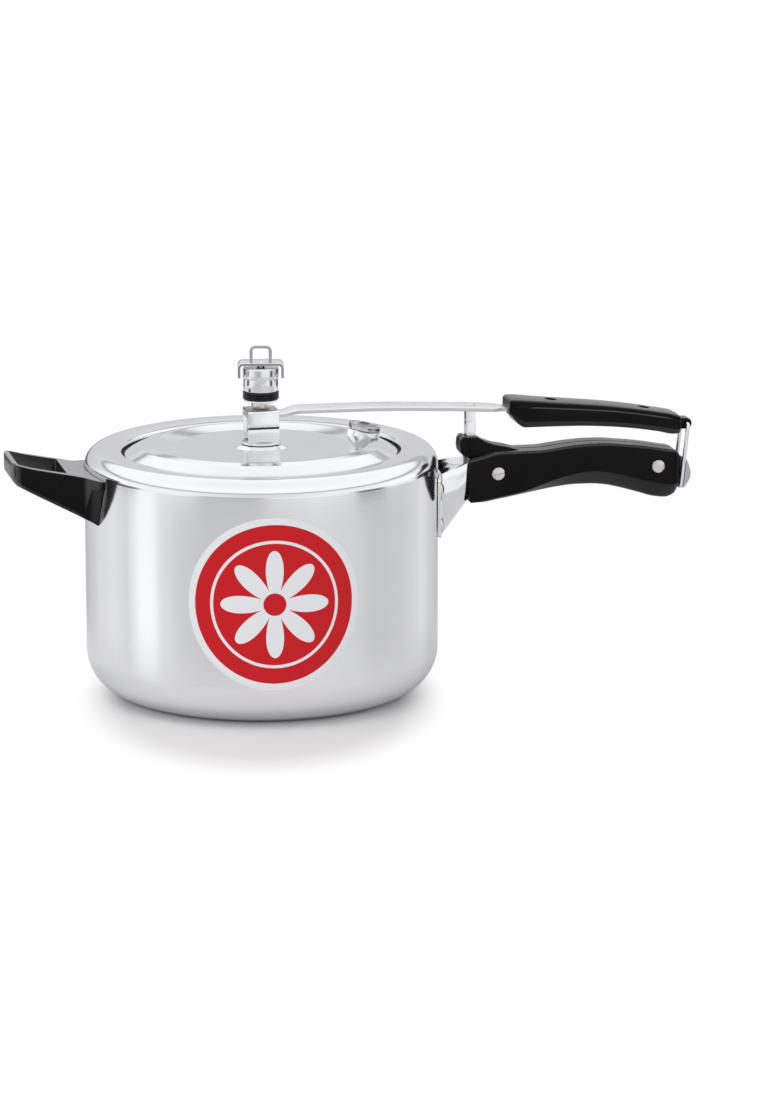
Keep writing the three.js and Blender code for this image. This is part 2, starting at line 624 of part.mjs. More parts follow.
// Stud: riveted through the wall and tapped for the helper handle's screw
const studIn = innerR - SEAT_GAP - CURVE_GAP;
const studTap = HELPER_SCREW_R + PIN_GAP;
const studProfile = [[0, studIn - STUD_HEAD_H], [STUD_HEAD_R, studIn - STUD_HEAD_H], [STUD_HEAD_R, studIn],
  [STUD_NECK_R, studIn], [STUD_NECK_R, POT_R + SEAT_GAP], [STUD_R, POT_R + SEAT_GAP], [STUD_R, studEnd],
  [studTap, studEnd], [studTap, POT_R + STUD_FLOOR], [0, POT_R + STUD_FLOOR]];
add('helper_handle_stud', turned(studProfile, SMALL_ROUND, aim([0, 0, helperScrewZ], helperOut)), NICKEL);
const helperHeadX = troughInX - SEAT_GAP - HELPER_SCREW_HEAD_H;
const helperScrewLength = -helperHeadX - POT_R - STUD_FLOOR - SEAT_GAP;
add('helper_handle_screw', slottedScrew([helperHeadX, 0, helperScrewZ], helperOut, HELPER_SCREW_HEAD_R,
  HELPER_SCREW_HEAD_H, HELPER_SCREW_R, helperScrewLength, 0.4), NICKEL);

// Lid: one drawn oval plate with a raised centre, a dish, a crest and a flange under the pot's lip
const lidTopLine = [[LID_PAD_R, padZ], [LID_DISH_R, dishZ], [crestR - LID_CREST_RUN, dishZ],
  [crestR - LID_CREST_TURN, crestZ - LID_CREST_SAG], [crestR, crestZ],
  [crestR + LID_RIM_RUN, crestZ - LID_RIM_SAG], [plugR - LID_EDGE_TURN, lidEdgeZ]];
const lidUnderLine = lidTopLine.slice(0, -1).map(([r, z]) => [r, z - LID_T]);
const lidProfile = [
  [TUBE_R + PIN_GAP, padZ - LID_T], ...lidUnderLine, [plugR - LID_T, lidEdgeZ - LID_T],
  [plugR - LID_T, flangeTopZ - LID_T], [flangeR, flangeTopZ - LID_T], [flangeR, flangeTopZ],
  [plugR, flangeTopZ], [plugR, lidEdgeZ - LID_EDGE_TURN], ...lidTopLine.slice().reverse(),
  [TUBE_R + PIN_GAP, padZ], [TUBE_R + PIN_GAP, padZ - LID_T],
];
const lidShare = (r) => smooth(LID_DISH_R, plugR - LID_T, r);
const valveLean = THREE.MathUtils.degToRad(VALVE_TILT);
const valveTurn = THREE.MathUtils.degToRad(VALVE_TURN);
const valveR = plugR - VALVE_IN;
const valveOut = [Math.cos(valveTurn), Math.sin(valveTurn)];
const valveUp = [Math.sin(valveLean) * valveOut[0], Math.sin(valveLean) * valveOut[1],
  Math.cos(valveLean)];
const valveSeatZ = heightAt(lidTopLine, valveR - MOUTH_OVAL) + VALVE_SEAT_RISE;
const onValve = (h) => [valveR * valveOut[0] + valveUp[0] * h, valveR * valveOut[1] + valveUp[1] * h,
  valveSeatZ + valveUp[2] * h];
const lidLand = rod(VALVE_HEX_R + VALVE_LAND_RIM, onValve(-VALVE_LAND_BELOW), onValve(VALVE_LAND_ABOVE));
const lidHole = rod(VALVE_STEM_R + PIN_GAP, onValve(-CUT_PAST), onValve(CUT_PAST));
add('lid_plate', ovalTurned(lidProfile, lidShare).add(lidLand).subtract(lidHole), ALUMINIUM);

// Sealing ring: a flat rubber ring on the flange, under the pot's lip
const ringIn = plugR + PIN_GAP;
const ringOut = flangeR + RING_OVERHANG;
const ringLowZ = ringTopZ - RING_T;
const ringProfile = [[ringIn, ringLowZ], [ringOut, ringLowZ], [ringOut + 0.6, ringLowZ + RING_T / 2],
  [ringOut, ringTopZ], [ringIn, ringTopZ], [ringIn, ringLowZ]];
add('sealing_ring', ovalTurned(ringProfile, () => 1), RUBBER);

// Vent tube with the nuts above and below that clamp stirrup, bar and lid
const tubeLowZ = padZ - LID_T - TUBE_BELOW;
const tubeProfile = [[TUBE_BORE_R, tubeLowZ], [TUBE_R, tubeLowZ], [TUBE_R, stirrupTopZ],
  [TUBE_NECK_R, stirrupTopZ],
  [TUBE_NECK_R, tubeTipZ - 2], [TUBE_NECK_R - 0.7, tubeTipZ], [TUBE_BORE_R, tubeTipZ],
  [TUBE_BORE_R, tubeLowZ]];
add('vent_tube', turned(tubeProfile), STEEL);
const topNut = rod(TOP_NUT_R, [0, 0, topNutZ], [0, 0, topNutZ + TOP_NUT_H], 6);
add('vent_tube_top_nut', topNut.subtract(rod(TUBE_NECK_R + PIN_GAP, [0, 0, padZ], [0, 0, tubeTipZ])),
  NICKEL);
const lowNutZ = padZ - LID_T - SEAT_GAP;
const lowNut = rod(LOW_NUT_R, [0, 0, lowNutZ - LOW_NUT_H], [0, 0, lowNutZ], 6);
add('vent_tube_lower_nut', lowNut.subtract(rod(TUBE_R + PIN_GAP, [0, 0, padZ - CUT_PAST],
  [0, 0, padZ + CUT_PAST])), NICKEL);

// Stirrup: a pad on the lid with two flaps and a roof, open along X for the bar's end
const tubeHole = rod(TUBE_R + PIN_GAP, [0, 0, padZ - CUT_PAST], [0, 0, stirrupTopZ + CUT_PAST]);
const stirrupIn = STIRRUP_HALF - STIRRUP_T;
const stirrupRing = crossPlate([[-STIRRUP_HALF, stirrupFootZ], [STIRRUP_HALF, stirrupFootZ],
  [STIRRUP_HALF, stirrupTopZ], [-STIRRUP_HALF, stirrupTopZ]], -STIRRUP_HALF, STIRRUP_HALF);
const stirrupVoid = crossPlate([[-stirrupIn, stirrupFootZ + STIRRUP_T],
  [stirrupIn, stirrupFootZ + STIRRUP_T],
  [stirrupIn, stirrupTopZ - BAR_T], [-stirrupIn, stirrupTopZ - BAR_T]], -CUT_PAST, CUT_PAST);
const stirrupPad = rod(STIRRUP_PAD_R, [0, 0, stirrupFootZ], [0, 0, stirrupFootZ + STIRRUP_T], 32);
add('lid_stirrup', stirrupRing.subtract(stirrupVoid).add(stirrupPad).subtract(tubeHole), STEEL);

// Lid bar: a flat strip from the stirrup over the pot's rim into the lid handle
const barRampX = STIRRUP_HALF + BAR_RAMP;
const barShares = [[0, 0], [0.19, 0.017], [0.364, 0.105], [0.457, 0.171], [0.562, 0.271],
  [0.686, 0.459], [0.851, 0.735],
  [1, 1]];
const barLine = [[-STIRRUP_HALF, barEndTopZ], [STIRRUP_HALF + STIRRUP_T, barEndTopZ],
  ...barShares.map(([x, drop]) => [barRampX + (barEndX - barRampX) * x, barTopZ - BAR_DROP * drop])];
const barBand = (grow) => [...barLine.map(([x, z]) => [x, z + grow]),
  ...barLine.map(([x, z]) => [x, z - BAR_T - grow]).reverse()];
const barRoot = stirrupIn - SEAT_GAP;
const barTaperX = lidGripFront - BAR_TAPER_GAP - BAR_TAPER;
const barSideLine = [[-STIRRUP_HALF, barRoot], [STIRRUP_HALF + STIRRUP_T * 2, barRoot],
  [barRampX + STIRRUP_T, BAR_HALF],
  [barTaperX, BAR_HALF], [barTaperX + BAR_TAPER, BAR_TANG_HALF], [barEndX, BAR_TANG_HALF]];
const barPlan = [...barSideLine.map(([x, y]) => [x, -y]), ...barSideLine.slice().reverse()];
let bar = sidePlate(barBand(0), -BAR_HALF, BAR_HALF);
bar = bar.intersect(flatPlate(barPlan, padZ - CUT_PAST, barTopZ + CUT_PAST)).subtract(tubeHole);
const barLegZ = heightAt(barLine, legX);
bar = bar.subtract(rod(LEG_RIVET_R + PIN_GAP, [legX, 0, legAxisZ], [legX, 0, barTopZ + CUT_PAST], 14));
const gripLean = Math.atan2(barLine[7][1] - barLine[8][1], barLine[8][0] - barLine[7][0]);
const gripUp = [Math.sin(gripLean), 0, Math.cos(gripLean)];
const onBar = (x, h) => [x + gripUp[0] * h, 0, heightAt(barLine, x) + gripUp[2] * h];
const lidScrews = [['front', lidGripFront + LID_SCREW_1_IN], ['rear', lidGripEnd - LID_SCREW_2_BACK]];
for (const [, x] of lidScrews) {
  bar = bar.subtract(rod(LID_SCREW_R + PIN_GAP, onBar(x, -CUT_PAST), onBar(x, CUT_PAST), 14));
}
add('lid_bar', bar, STEEL);

// Leg: a round-footed block under the bar that turns in the horn's seat, with its rivet
const legTopZ = barLegZ - BAR_T - SEAT_GAP - CURVE_GAP;
const legSide = [...arc(legX, legAxisZ, LEG_R, 180, 360, 8), [legX + LEG_R, legTopZ],
  [legX - LEG_R, legTopZ]];
const legHoleZ = legTopZ - LEG_RIVET_DEPTH;
const legHole = rod(LEG_RIVET_R + PIN_GAP, [legX, 0, legHoleZ], [legX, 0, legTopZ + CUT_PAST], 14);
add('bar_leg', sidePlate(legSide, -LEG_HALF, LEG_HALF).subtract(legHole), STEEL);
const legRivetZ = barLegZ + SEAT_GAP + CURVE_GAP;
const legRivet = [[0, legHoleZ + SEAT_GAP], [LEG_RIVET_R, legHoleZ + SEAT_GAP], [LEG_RIVET_R, legRivetZ],
  [LEG_RIVET_R * 1.9, legRivetZ], [LEG_RIVET_R * 1.4, legRivetZ + LEG_RIVET_R / 2],
  [0, legRivetZ + LEG_RIVET_R * 0.66]];
add('leg_rivet', turned(legRivet, 14, aim([legX, 0, 0])), NICKEL);

// Lid handle: one moulding slotted for the bar, with an eye at its end for the locking loop
const lidGripSection = [[-1, 0], [1, 0], [1, 1], [1, 1.8], [0.82, 2], [-0.82, 2], [-1, 1.8], [-1, 1]];
const lidGripShares = [
  [0, 0.873, 0.782, 0.652, 0.726, 0.956], [0.014, 0.945, 0.818, 0.6, 0.689, 1],
  [0.058, 1, 0.8, 0.378, 0.526, 0.993],
  [0.091, 1, 0.8, 0.311, 0.467, 0.978], [0.248, 1, 0.8, 0.307, 0.452, 0.904],
  [0.405, 1, 0.8, 0.293, 0.422, 0.837],
  [0.563, 1, 0.8, 0.252, 0.378, 0.763], [0.72, 1, 0.8, 0.178, 0.304, 0.667],
  [0.86, 1, 0.8, 0.081, 0.207, 0.563],
  [0.956, 1, 0.8, 0, 0.133, 0.481], [0.988, 0.909, 0.727, 0.007, 0.119, 0.43],
  [1, 0.764, 0.636, 0.059, 0.133, 0.37],
];
const lidGripStations = stationsOf(lidGripShares, lidGripFront, lidGripLength, LID_GRIP_HALF,
  lidGripLowZ, LID_GRIP_H);
let lidGrip = moulded(lidGripSection, lidGripStations);
const eyeR = LOOP_WIRE_R + PIN_GAP + LOOP_EYE_WALL;
const eyeBridge = [[lidGripEnd - eyeR, loopZ - eyeR], [loopX, loopZ - eyeR], [loopX, loopZ + eyeR],
  [lidGripEnd - eyeR, loopZ + eyeR]];
lidGrip = lidGrip.add(rod(eyeR, [loopX, -LOOP_EYE_HALF, loopZ], [loopX, LOOP_EYE_HALF, loopZ]));
lidGrip = lidGrip.add(sidePlate(eyeBridge, -LOOP_EYE_HALF, LOOP_EYE_HALF));
lidGrip = lidGrip.subtract(rod(LOOP_WIRE_R + PIN_GAP, [loopX, -CUT_PAST, loopZ],
  [loopX, CUT_PAST, loopZ]));
const slotHalf = BAR_TANG_HALF + SEAT_GAP;
const slotPlan = [[POT_R, -slotHalf], [barEndX + SEAT_GAP, -slotHalf], [barEndX + SEAT_GAP, slotHalf],
  [POT_R, slotHalf]];
const slotBand = barBand(SEAT_GAP).map(([x, z]) => [x === barEndX ? x + SEAT_GAP : x, z]);
const slot = sidePlate(slotBand, -LID_GRIP_HALF, LID_GRIP_HALF);
lidGrip = lidGrip.subtract(slot.intersect(flatPlate(slotPlan, lidGripLowZ - CUT_PAST,
  barTopZ + CUT_PAST)));
const lidScrewSeat = SEAT_GAP + LID_SCREW_FLOOR;
for (const [, x] of lidScrews) {
  lidGrip = lidGrip.subtract(rod(LID_SCREW_HEAD_R + SEAT_GAP, onBar(x, lidScrewSeat), onBar(x, CUT_PAST)));
  const holeEnd = -BAR_T - LID_SCREW_BELOW - SEAT_GAP * 3;
  lidGrip = lidGrip.subtract(rod(LID_SCREW_R + PIN_GAP, onBar(x, holeEnd), onBar(x, CUT_PAST), 14));
}
add('lid_handle', lidGrip, BLACK);
for (const [name, x] of lidScrews) {
  const headTop = lidScrewSeat + SEAT_GAP + LID_SCREW_SINK;
  const screw = slottedScrew(onBar(x, headTop), gripUp, LID_SCREW_HEAD_R, LID_SCREW_SINK, LID_SCREW_R,
    headTop + BAR_T + LID_SCREW_BELOW, 0.3);
  add(`lid_handle_screw_${name}`, screw, NICKEL);
}

// Locking loop: a bent wire frame through the eye, with a thumb tab on its outer side
const loopLean = THREE.MathUtils.degToRad(LOOP_LEAN);
const loopDown = [-Math.sin(loopLean), -Math.cos(loopLean)];
const onLoop = (d, out, y) => [loopX + loopDown[0] * d - loopDown[1] * out, y,
  loopZ + loopDown[1] * d + loopDown[0] * out];
let loop = null;
const loopCorners = [[0, -LOOP_HALF], [LOOP_LENGTH, -LOOP_HALF], [LOOP_LENGTH, LOOP_HALF], [0, LOOP_HALF]];
for (let i = 0; i < loopCorners.length; i += 1) {
  const [d0, y0] = loopCorners[i];
  const [d1, y1] = loopCorners[(i + 1) % loopCorners.length];
  const side = rod(LOOP_WIRE_R, onLoop(d0, 0, y0), onLoop(d1, 0, y1), 12);
  const knee = new THREE.SphereGeometry(LOOP_WIRE_R, 12, 6).translate(...onLoop(d0, 0, y0));
  loop = loop ? loop.add(side) : side;
  loop = loop.add(solid(knee));
}
add('locking_loop', loop, STEEL);
const tabIn = LOOP_WIRE_R + SEAT_GAP;
const tabEnd = LOOP_LENGTH + TAB_PAST;
const tabFrom = tabEnd - TAB_LENGTH;
const tabPoint = (d, out) => [onLoop(d, out, 0)[0], onLoop(d, out, 0)[2]];
const tabSide = [];
for (let i = 0; i <= 10; i += 1) {
  const t = i / 10;
  tabSide.push(tabPoint(tabFrom + TAB_LENGTH * t,
    tabIn + TAB_BULGE * Math.sin(Math.PI * (0.08 + 0.86 * t))));
}
tabSide.push(tabPoint(tabEnd, tabIn), tabPoint(tabFrom, tabIn));
const tabHalf = LOOP_HALF + TAB_SIDE;
add('loop_thumb_tab', sidePlate(tabSide, -tabHalf, tabHalf), GREY);

// Safety valve: hexagon body through the lid, soft plug in its middle, nut below
const valveStem = VALVE_LAND_BELOW + VALVE_NUT_H + VALVE_STEM_PAST;
const plugPocket = VALVE_PLUG_R + PIN_GAP;
const valveSeat = VALVE_LAND_ABOVE + SEAT_GAP;
const valveTop = valveSeat + VALVE_HEX_H;
const plugStemR = VALVE_PLUG_R - 1.3;
let valve = rod(VALVE_HEX_R, onValve(valveSeat), onValve(valveTop), 6);
valve = valve.add(rod(VALVE_STEM_R, onValve(-valveStem), onValve(valveSeat + SEAT_GAP)));
valve = valve.subtract(rod(plugPocket, onValve(valveTop - VALVE_PLUG_H), onValve(valveTop + CUT_PAST)));
valve = valve.subtract(rod(plugStemR + PIN_GAP, onValve(-valveStem - CUT_PAST), onValve(valveTop), 14));
add('safety_valve_body', valve, STEEL);
const plugTop = valveTop + SEAT_GAP;
const plugHead = VALVE_PLUG_H;
add('safety_valve_plug', slottedScrew(onValve(plugTop), valveUp, VALVE_PLUG_R, plugHead, plugStemR,
  plugHead * 2, 0.6), BRASS);
const valveNutTop = -VALVE_LAND_BELOW - SEAT_GAP;
const valveNut = rod(VALVE_NUT_R, onValve(valveNutTop - VALVE_NUT_H), onValve(valveNutTop), 6);
add('safety_valve_nut', valveNut.subtract(rod(VALVE_STEM_R + PIN_GAP, onValve(-CUT_PAST), onValve(0))),
  NICKEL);

// Pressure weight: a turned body over the vent tube, with its rubber band
const bandLowZ = weightZ + BAND_LIP;
const bandTopZ = bandLowZ + BAND_H + 2 * SEAT_GAP;
const boreRoofZ = tubeTipZ + SEAT_GAP + NEEDLE_COLLAR_H + SEAT_GAP;
const grooveR = WEIGHT_R - BAND_T;
const weightProfile = [[WEIGHT_BORE_R, weightZ], [WEIGHT_R - 1, weightZ], [WEIGHT_R - 0.4, weightZ + 0.6],
  [WEIGHT_R - 0.4, bandLowZ], [grooveR, bandLowZ], [grooveR, bandTopZ], [WEIGHT_R, bandTopZ],
  [WEIGHT_R, weightTopZ - 0.8],
  [WEIGHT_R - 0.8, weightTopZ], [NEEDLE_R + PIN_GAP, weightTopZ], [NEEDLE_R + PIN_GAP, boreRoofZ],
  [WEIGHT_BORE_R, boreRoofZ], [WEIGHT_BORE_R, weightZ]];
add('weight_body', turned(weightProfile, 24), STEEL);
const bandIn = grooveR + SEAT_GAP;
const bandOut = WEIGHT_R + 0.3;
const bandProfile = [[bandIn, bandLowZ + SEAT_GAP]];
for (let i = 0; i < 3; i += 1) {
  const rib = bandLowZ + SEAT_GAP + BAND_H * i / 3;
  bandProfile.push([bandOut - 0.35, rib], [bandOut, rib + BAND_H / 6]);
}
bandProfile.push([bandOut - 0.35, bandTopZ - SEAT_GAP], [bandIn, bandTopZ - SEAT_GAP],
  [bandIn, bandLowZ + SEAT_GAP]);
add('weight_band', turned(bandProfile, 24), RUBBER);

// Needle: seats in the vent tube and carries the weight, which turns on it
const needleLowZ = tubeTipZ + SEAT_GAP;
const needleHeadZ = weightTopZ + SEAT_GAP;
const needleTipR = TUBE_BORE_R - 0.5;
const needleProfile = [[0, needleLowZ - 3.5], [needleTipR, needleLowZ - 1.5], [needleTipR, needleLowZ],
  [WEIGHT_BORE_R - PIN_GAP * 2, needleLowZ], [WEIGHT_BORE_R - PIN_GAP * 2, needleLowZ + NEEDLE_COLLAR_H],
  [NEEDLE_R, needleLowZ + NEEDLE_COLLAR_H], [NEEDLE_R, needleHeadZ], [NEEDLE_HEAD_R, needleHeadZ],
  [NEEDLE_HEAD_R - 0.3, needleHeadZ + NEEDLE_HEAD_H], [0, needleHeadZ + NEEDLE_HEAD_H]];
add('weight_needle', turned(needleProfile), NICKEL);

// Cap strap: bent over the top of the weight, with a wire eye to lift it by
const capIn = CAP_SPREAD - CAP_T;
const capLowZ = capTopZ - CAP_T - CAP_DROP;
const capOutline = [[-CAP_SPREAD, capLowZ], [-capIn, capLowZ], [-capIn + 0.8, capTopZ - CAP_T],
  [capIn - 0.8, capTopZ - CAP_T],
  [capIn, capLowZ], [CAP_SPREAD, capLowZ], [CAP_SPREAD - 0.6, capTopZ - 1.6], [CAP_SPREAD - 2.2, capTopZ],
  [-CAP_SPREAD + 2.2, capTopZ], [-CAP_SPREAD + 0.6, capTopZ - 1.6]];
add('weight_cap_strap', sidePlate(capOutline, -CAP_HALF, CAP_HALF).rotate([0, 0, CAP_TURN]), STEEL);
const eyeX = EYE_HALF - EYE_WIRE_R;
const eyeTopZ = capTopZ + EYE_H - EYE_WIRE_R;
const eyeFootZ = capTopZ + SEAT_GAP;
const eyePath = new THREE.CurvePath();
const eyeBend = 2.4;
const eyePoint = (x, z) => new THREE.Vector3(x, 0, z);
eyePath.add(new THREE.LineCurve3(eyePoint(-eyeX, eyeFootZ), eyePoint(-eyeX, eyeTopZ - eyeBend)));
eyePath.add(new THREE.QuadraticBezierCurve3(eyePoint(-eyeX, eyeTopZ - eyeBend), eyePoint(-eyeX, eyeTopZ),
  eyePoint(-eyeX + eyeBend, eyeTopZ)));
eyePath.add(new THREE.LineCurve3(eyePoint(-eyeX + eyeBend, eyeTopZ), eyePoint(eyeX - eyeBend, eyeTopZ)));
eyePath.add(new THREE.QuadraticBezierCurve3(eyePoint(eyeX - eyeBend, eyeTopZ), eyePoint(eyeX, eyeTopZ),
  eyePoint(eyeX, eyeTopZ - eyeBend)));
eyePath.add(new THREE.LineCurve3(eyePoint(eyeX, eyeTopZ - eyeBend), eyePoint(eyeX, eyeFootZ)));
const eyeRing = outline(arc(0, 0, EYE_WIRE_R, 0, 315, 7));
add('weight_lifting_eye', solid(new THREE.ExtrudeGeometry(eyeRing,
  { steps: 22, extrudePath: eyePath })).rotate([0, 0, CAP_TURN]), STEEL);

export default group;
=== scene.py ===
import math

import bmesh
import bpy
from mathutils import Matrix, Vector


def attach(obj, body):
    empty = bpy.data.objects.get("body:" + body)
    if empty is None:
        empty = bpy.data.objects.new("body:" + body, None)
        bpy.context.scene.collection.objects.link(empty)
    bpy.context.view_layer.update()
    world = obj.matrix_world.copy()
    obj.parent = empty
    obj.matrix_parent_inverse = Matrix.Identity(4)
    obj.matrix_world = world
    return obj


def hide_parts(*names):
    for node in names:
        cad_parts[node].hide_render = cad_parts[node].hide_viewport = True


bpy.ops.wm.read_factory_settings(use_empty=True)
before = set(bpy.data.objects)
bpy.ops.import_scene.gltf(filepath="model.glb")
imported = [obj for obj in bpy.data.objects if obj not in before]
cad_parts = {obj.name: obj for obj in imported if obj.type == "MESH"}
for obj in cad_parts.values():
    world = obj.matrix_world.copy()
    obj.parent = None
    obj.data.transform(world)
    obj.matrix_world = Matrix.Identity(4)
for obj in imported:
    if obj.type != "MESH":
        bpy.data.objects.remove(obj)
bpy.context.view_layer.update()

# Pot shell: deep-drawn aluminium, about three millimetres thick, polished on a lathe.
# The base corner is a wide radius, and the shoulder is spun in to an oval mouth whose lip
# holds the lid from inside.
MM = 0.001
POT_R = 112.0
POT_H = 156.5
POT_WALL = 3.25
BASE_R = 27.5
SHOULDER_R = 10.5
MOUTH_R = 86.0
MOUTH_OVAL = 2.5
LIP_UNDER_Z = 152.3


def ramp(start, end, value):
    share = min(max((value - start) / (end - start), 0.0), 1.0)
    return share * share * (3 - 2 * share)


def arc(centre_r, centre_z, radius, start, end, steps):
    points = []
    for i in range(steps + 1):
        angle = math.radians(start + (end - start) * i / steps)
        points.append((centre_r + radius * math.cos(angle), centre_z + radius * math.sin(angle)))
    return points


def turned(profile, segments, oval=None):
    """A mesh turned round Z from (radius, height) points, closed where the last point meets the first."""
    bm = bmesh.new()
    rings = []
    for r, z in profile:
        if r < 1e-6:
            rings.append([bm.verts.new((0, 0, z * MM))])
            continue
        ring = []
        for i in range(segments):
            angle = 2 * math.pi * i / segments
            grown = r + (MOUTH_OVAL * oval(r, z) * math.cos(2 * angle) if oval else 0)
            ring.append(bm.verts.new((grown * MM * math.cos(angle), grown * MM * math.sin(angle), z * MM)))
        rings.append(ring)
    for low, high in zip(rings, rings[1:]):
        for i in range(segments):
            j = (i + 1) % segments
            corners = [low[i % len(low)], low[j % len(low)], high[j % len(high)], high[i % len(high)]]
            corners = [v for k, v in enumerate(corners) if v not in corners[:k]]
            if len(corners) > 2:
                bm.faces.new(corners)
    bmesh.ops.remove_doubles(bm, verts=bm.verts, dist=1e-7)
    bmesh.ops.recalc_face_normals(bm, faces=bm.faces)
    mesh = bpy.data.meshes.new("turned")
    bm.to_mesh(mesh)
    bm.free()
    return mesh


def fit_piece(name, mesh, finish, body, nodes, crease=35):
    """Puts a finished mesh on its body in place of its CAD nodes."""
    mesh.name = name
    mesh.materials.clear()
    mesh.materials.append(finish)
    mesh.shade_smooth()
    mesh.set_sharp_from_angle(angle=math.radians(crease))
    piece = bpy.data.objects.new(name, mesh)
    bpy.context.scene.collection.objects.link(piece)
    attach(piece, body)
    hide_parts(*nodes)
    return piece


def new_finish(name):
    finish = bpy.data.materials.new(name)
    finish.use_nodes = True
    tree = finish.node_tree
    tree.nodes.clear()
    output = tree.nodes.new("ShaderNodeOutputMaterial")
    surface = tree.nodes.new("ShaderNodeBsdfPrincipled")
    tree.links.new(surface.outputs["BSDF"], output.inputs["Surface"])
    return finish, tree, surface


def fill(tree, node, inputs):
    """Sets a node's inputs to values, or links them to other nodes' outputs."""
    for key, value in inputs.items():
        if isinstance(value, bpy.types.NodeSocket):
            tree.links.new(value, node.inputs[key])
        else:
            node.inputs[key].default_value = value


def wire(tree, kind, inputs=None, **settings):
    """Adds a node with its options and its inputs."""
    made = tree.nodes.new(kind)
    for key, value in settings.items():
        setattr(made, key, value)
    fill(tree, made, inputs or {})
    return made


def worked(tree, operation, *values):
    """The result of a sum on up to three values."""
    return wire(tree, "ShaderNodeMath", dict(enumerate(values)), operation=operation).outputs[0]


def length(tree, vector):
    return wire(tree, "ShaderNodeVectorMath", {0: vector}, operation="LENGTH").outputs["Value"]


def spread(tree, value, start, end, low=0.0, high=1.0, curve="LINEAR"):
    """A value carried from one range to another, and kept inside it."""
    ranges = {"Value": value, "From Min": start, "From Max": end, "To Min": low, "To Max": high}
    return wire(tree, "ShaderNodeMapRange", ranges, interpolation_type=curve).outputs[0]


def mottle(tree, place, scale, detail, roughness=0.5, dimensions="3D"):
    """Cloudy noise, for grain, wear and waviness."""
    grain = {"Vector": place, "Scale": scale, "Detail": detail, "Roughness": roughness}
    return wire(tree, "ShaderNodeTexNoise", grain, noise_dimensions=dimensions).outputs["Fac"]


def relief(tree, strength, depth, height, under=None):
    """A fine relief on the surface, laid over another one where that is given."""
    laid = wire(tree, "ShaderNodeBump", {"Strength": strength, "Distance": depth, "Height": height})
    if under is not None:
        fill(tree, laid, {"Normal": under})
    return laid.outputs["Normal"]


def mixed(tree, share, first, second):
    """Two colours mixed by a share."""
    parts = {"Factor": share, "A": first, "B": second}
    return wire(tree, "ShaderNodeMix", parts, data_type="RGBA").outputs["Result"]


def colour_steps(tree, factor, stops, blend="LINEAR"):
    steps = wire(tree, "ShaderNodeValToRGB", {"Fac": factor})
    steps.color_ramp.interpolation = blend
    elements = steps.color_ramp.elements
    for i, (place, shade) in enumerate(stops):
        element = elements[i] if i < 2 else elements.new(place)
        element.position = place
        element.color = (*shade, 1)
    return steps.outputs["Color"]


def linear(hex_colour):
    """A colour written as six hex digits, in the light values that the shaders take."""
    shades = []
    for i in (0, 2, 4):
        level = int(hex_colour[i:i + 2], 16) / 255
        shades.append(level / 12.92 if level <= 0.04045 else ((level + 0.055) / 1.055) ** 2.4)
    return tuple(shades)


def spun_metal(name, bright, dull, roughness, line_depth):
    """Metal polished while it turns: fine rings round the axis, faint clouding, a little waviness."""
    finish, tree, surface = new_finish(name)
    place = wire(tree, "ShaderNodeTexCoord").outputs["Object"]
    axes = wire(tree, "ShaderNodeSeparateXYZ", {0: place}).outputs
    flat = wire(tree, "ShaderNodeCombineXYZ", {"X": axes["X"], "Y": axes["Y"]}).outputs[0]
    rings_at = wire(tree, "ShaderNodeCombineXYZ", {"X": length(tree, flat), "Y": axes["Z"]}).outputs[0]
    rings = mottle(tree, rings_at, 900.0, 3.0, 0.7, "2D")
    clouds = mottle(tree, place, 22.0, 4.0)
    waves = relief(tree, 0.06, 0.002, mottle(tree, place, 9.0, 1.0))
    fill(tree, surface, {"Base Color": colour_steps(tree, clouds, [(0.3, dull), (0.7, bright)]),
                         "Roughness": spread(tree, rings, 0.3, 0.7, roughness * 0.8, roughness * 1.25),
                         "Normal": relief(tree, line_depth, 0.00005, rings, waves),
                         "Metallic": 1.0, "Anisotropic": 0.35})
    return finish


shoulder_end = POT_R - SHOULDER_R
pot_profile = [(0, 0), *arc(POT_R - BASE_R, BASE_R, BASE_R, -90, 0, 26),
               *arc(shoulder_end, POT_H - SHOULDER_R, SHOULDER_R, 0, 90, 22),
               (96.5, 156.3), (91.5, 155.9), (88.2, 155.55), (87.0, 155.3), (86.3, 154.8), (MOUTH_R, 154.1),
               (MOUTH_R, 153.1), (86.3, 152.6), (87.2, LIP_UNDER_Z), (93, LIP_UNDER_Z),
               *arc(shoulder_end, POT_H - SHOULDER_R, SHOULDER_R - POT_WALL, 90, 0, 14),
               *arc(POT_R - BASE_R, BASE_R, BASE_R - POT_WALL, 0, -90, 18), (0, POT_WALL)]
pot_finish = spun_metal("pot_polish", (0.89, 0.895, 0.905), (0.86, 0.865, 0.877), 0.11, 0.25)
pot_mesh = turned(pot_profile, 160, lambda r, z: 1 - ramp(87.2, shoulder_end, r) if z > POT_H / 2 else 0)
fit_piece("pot_shell", pot_mesh, pot_finish, "pot", ["pot_body"])

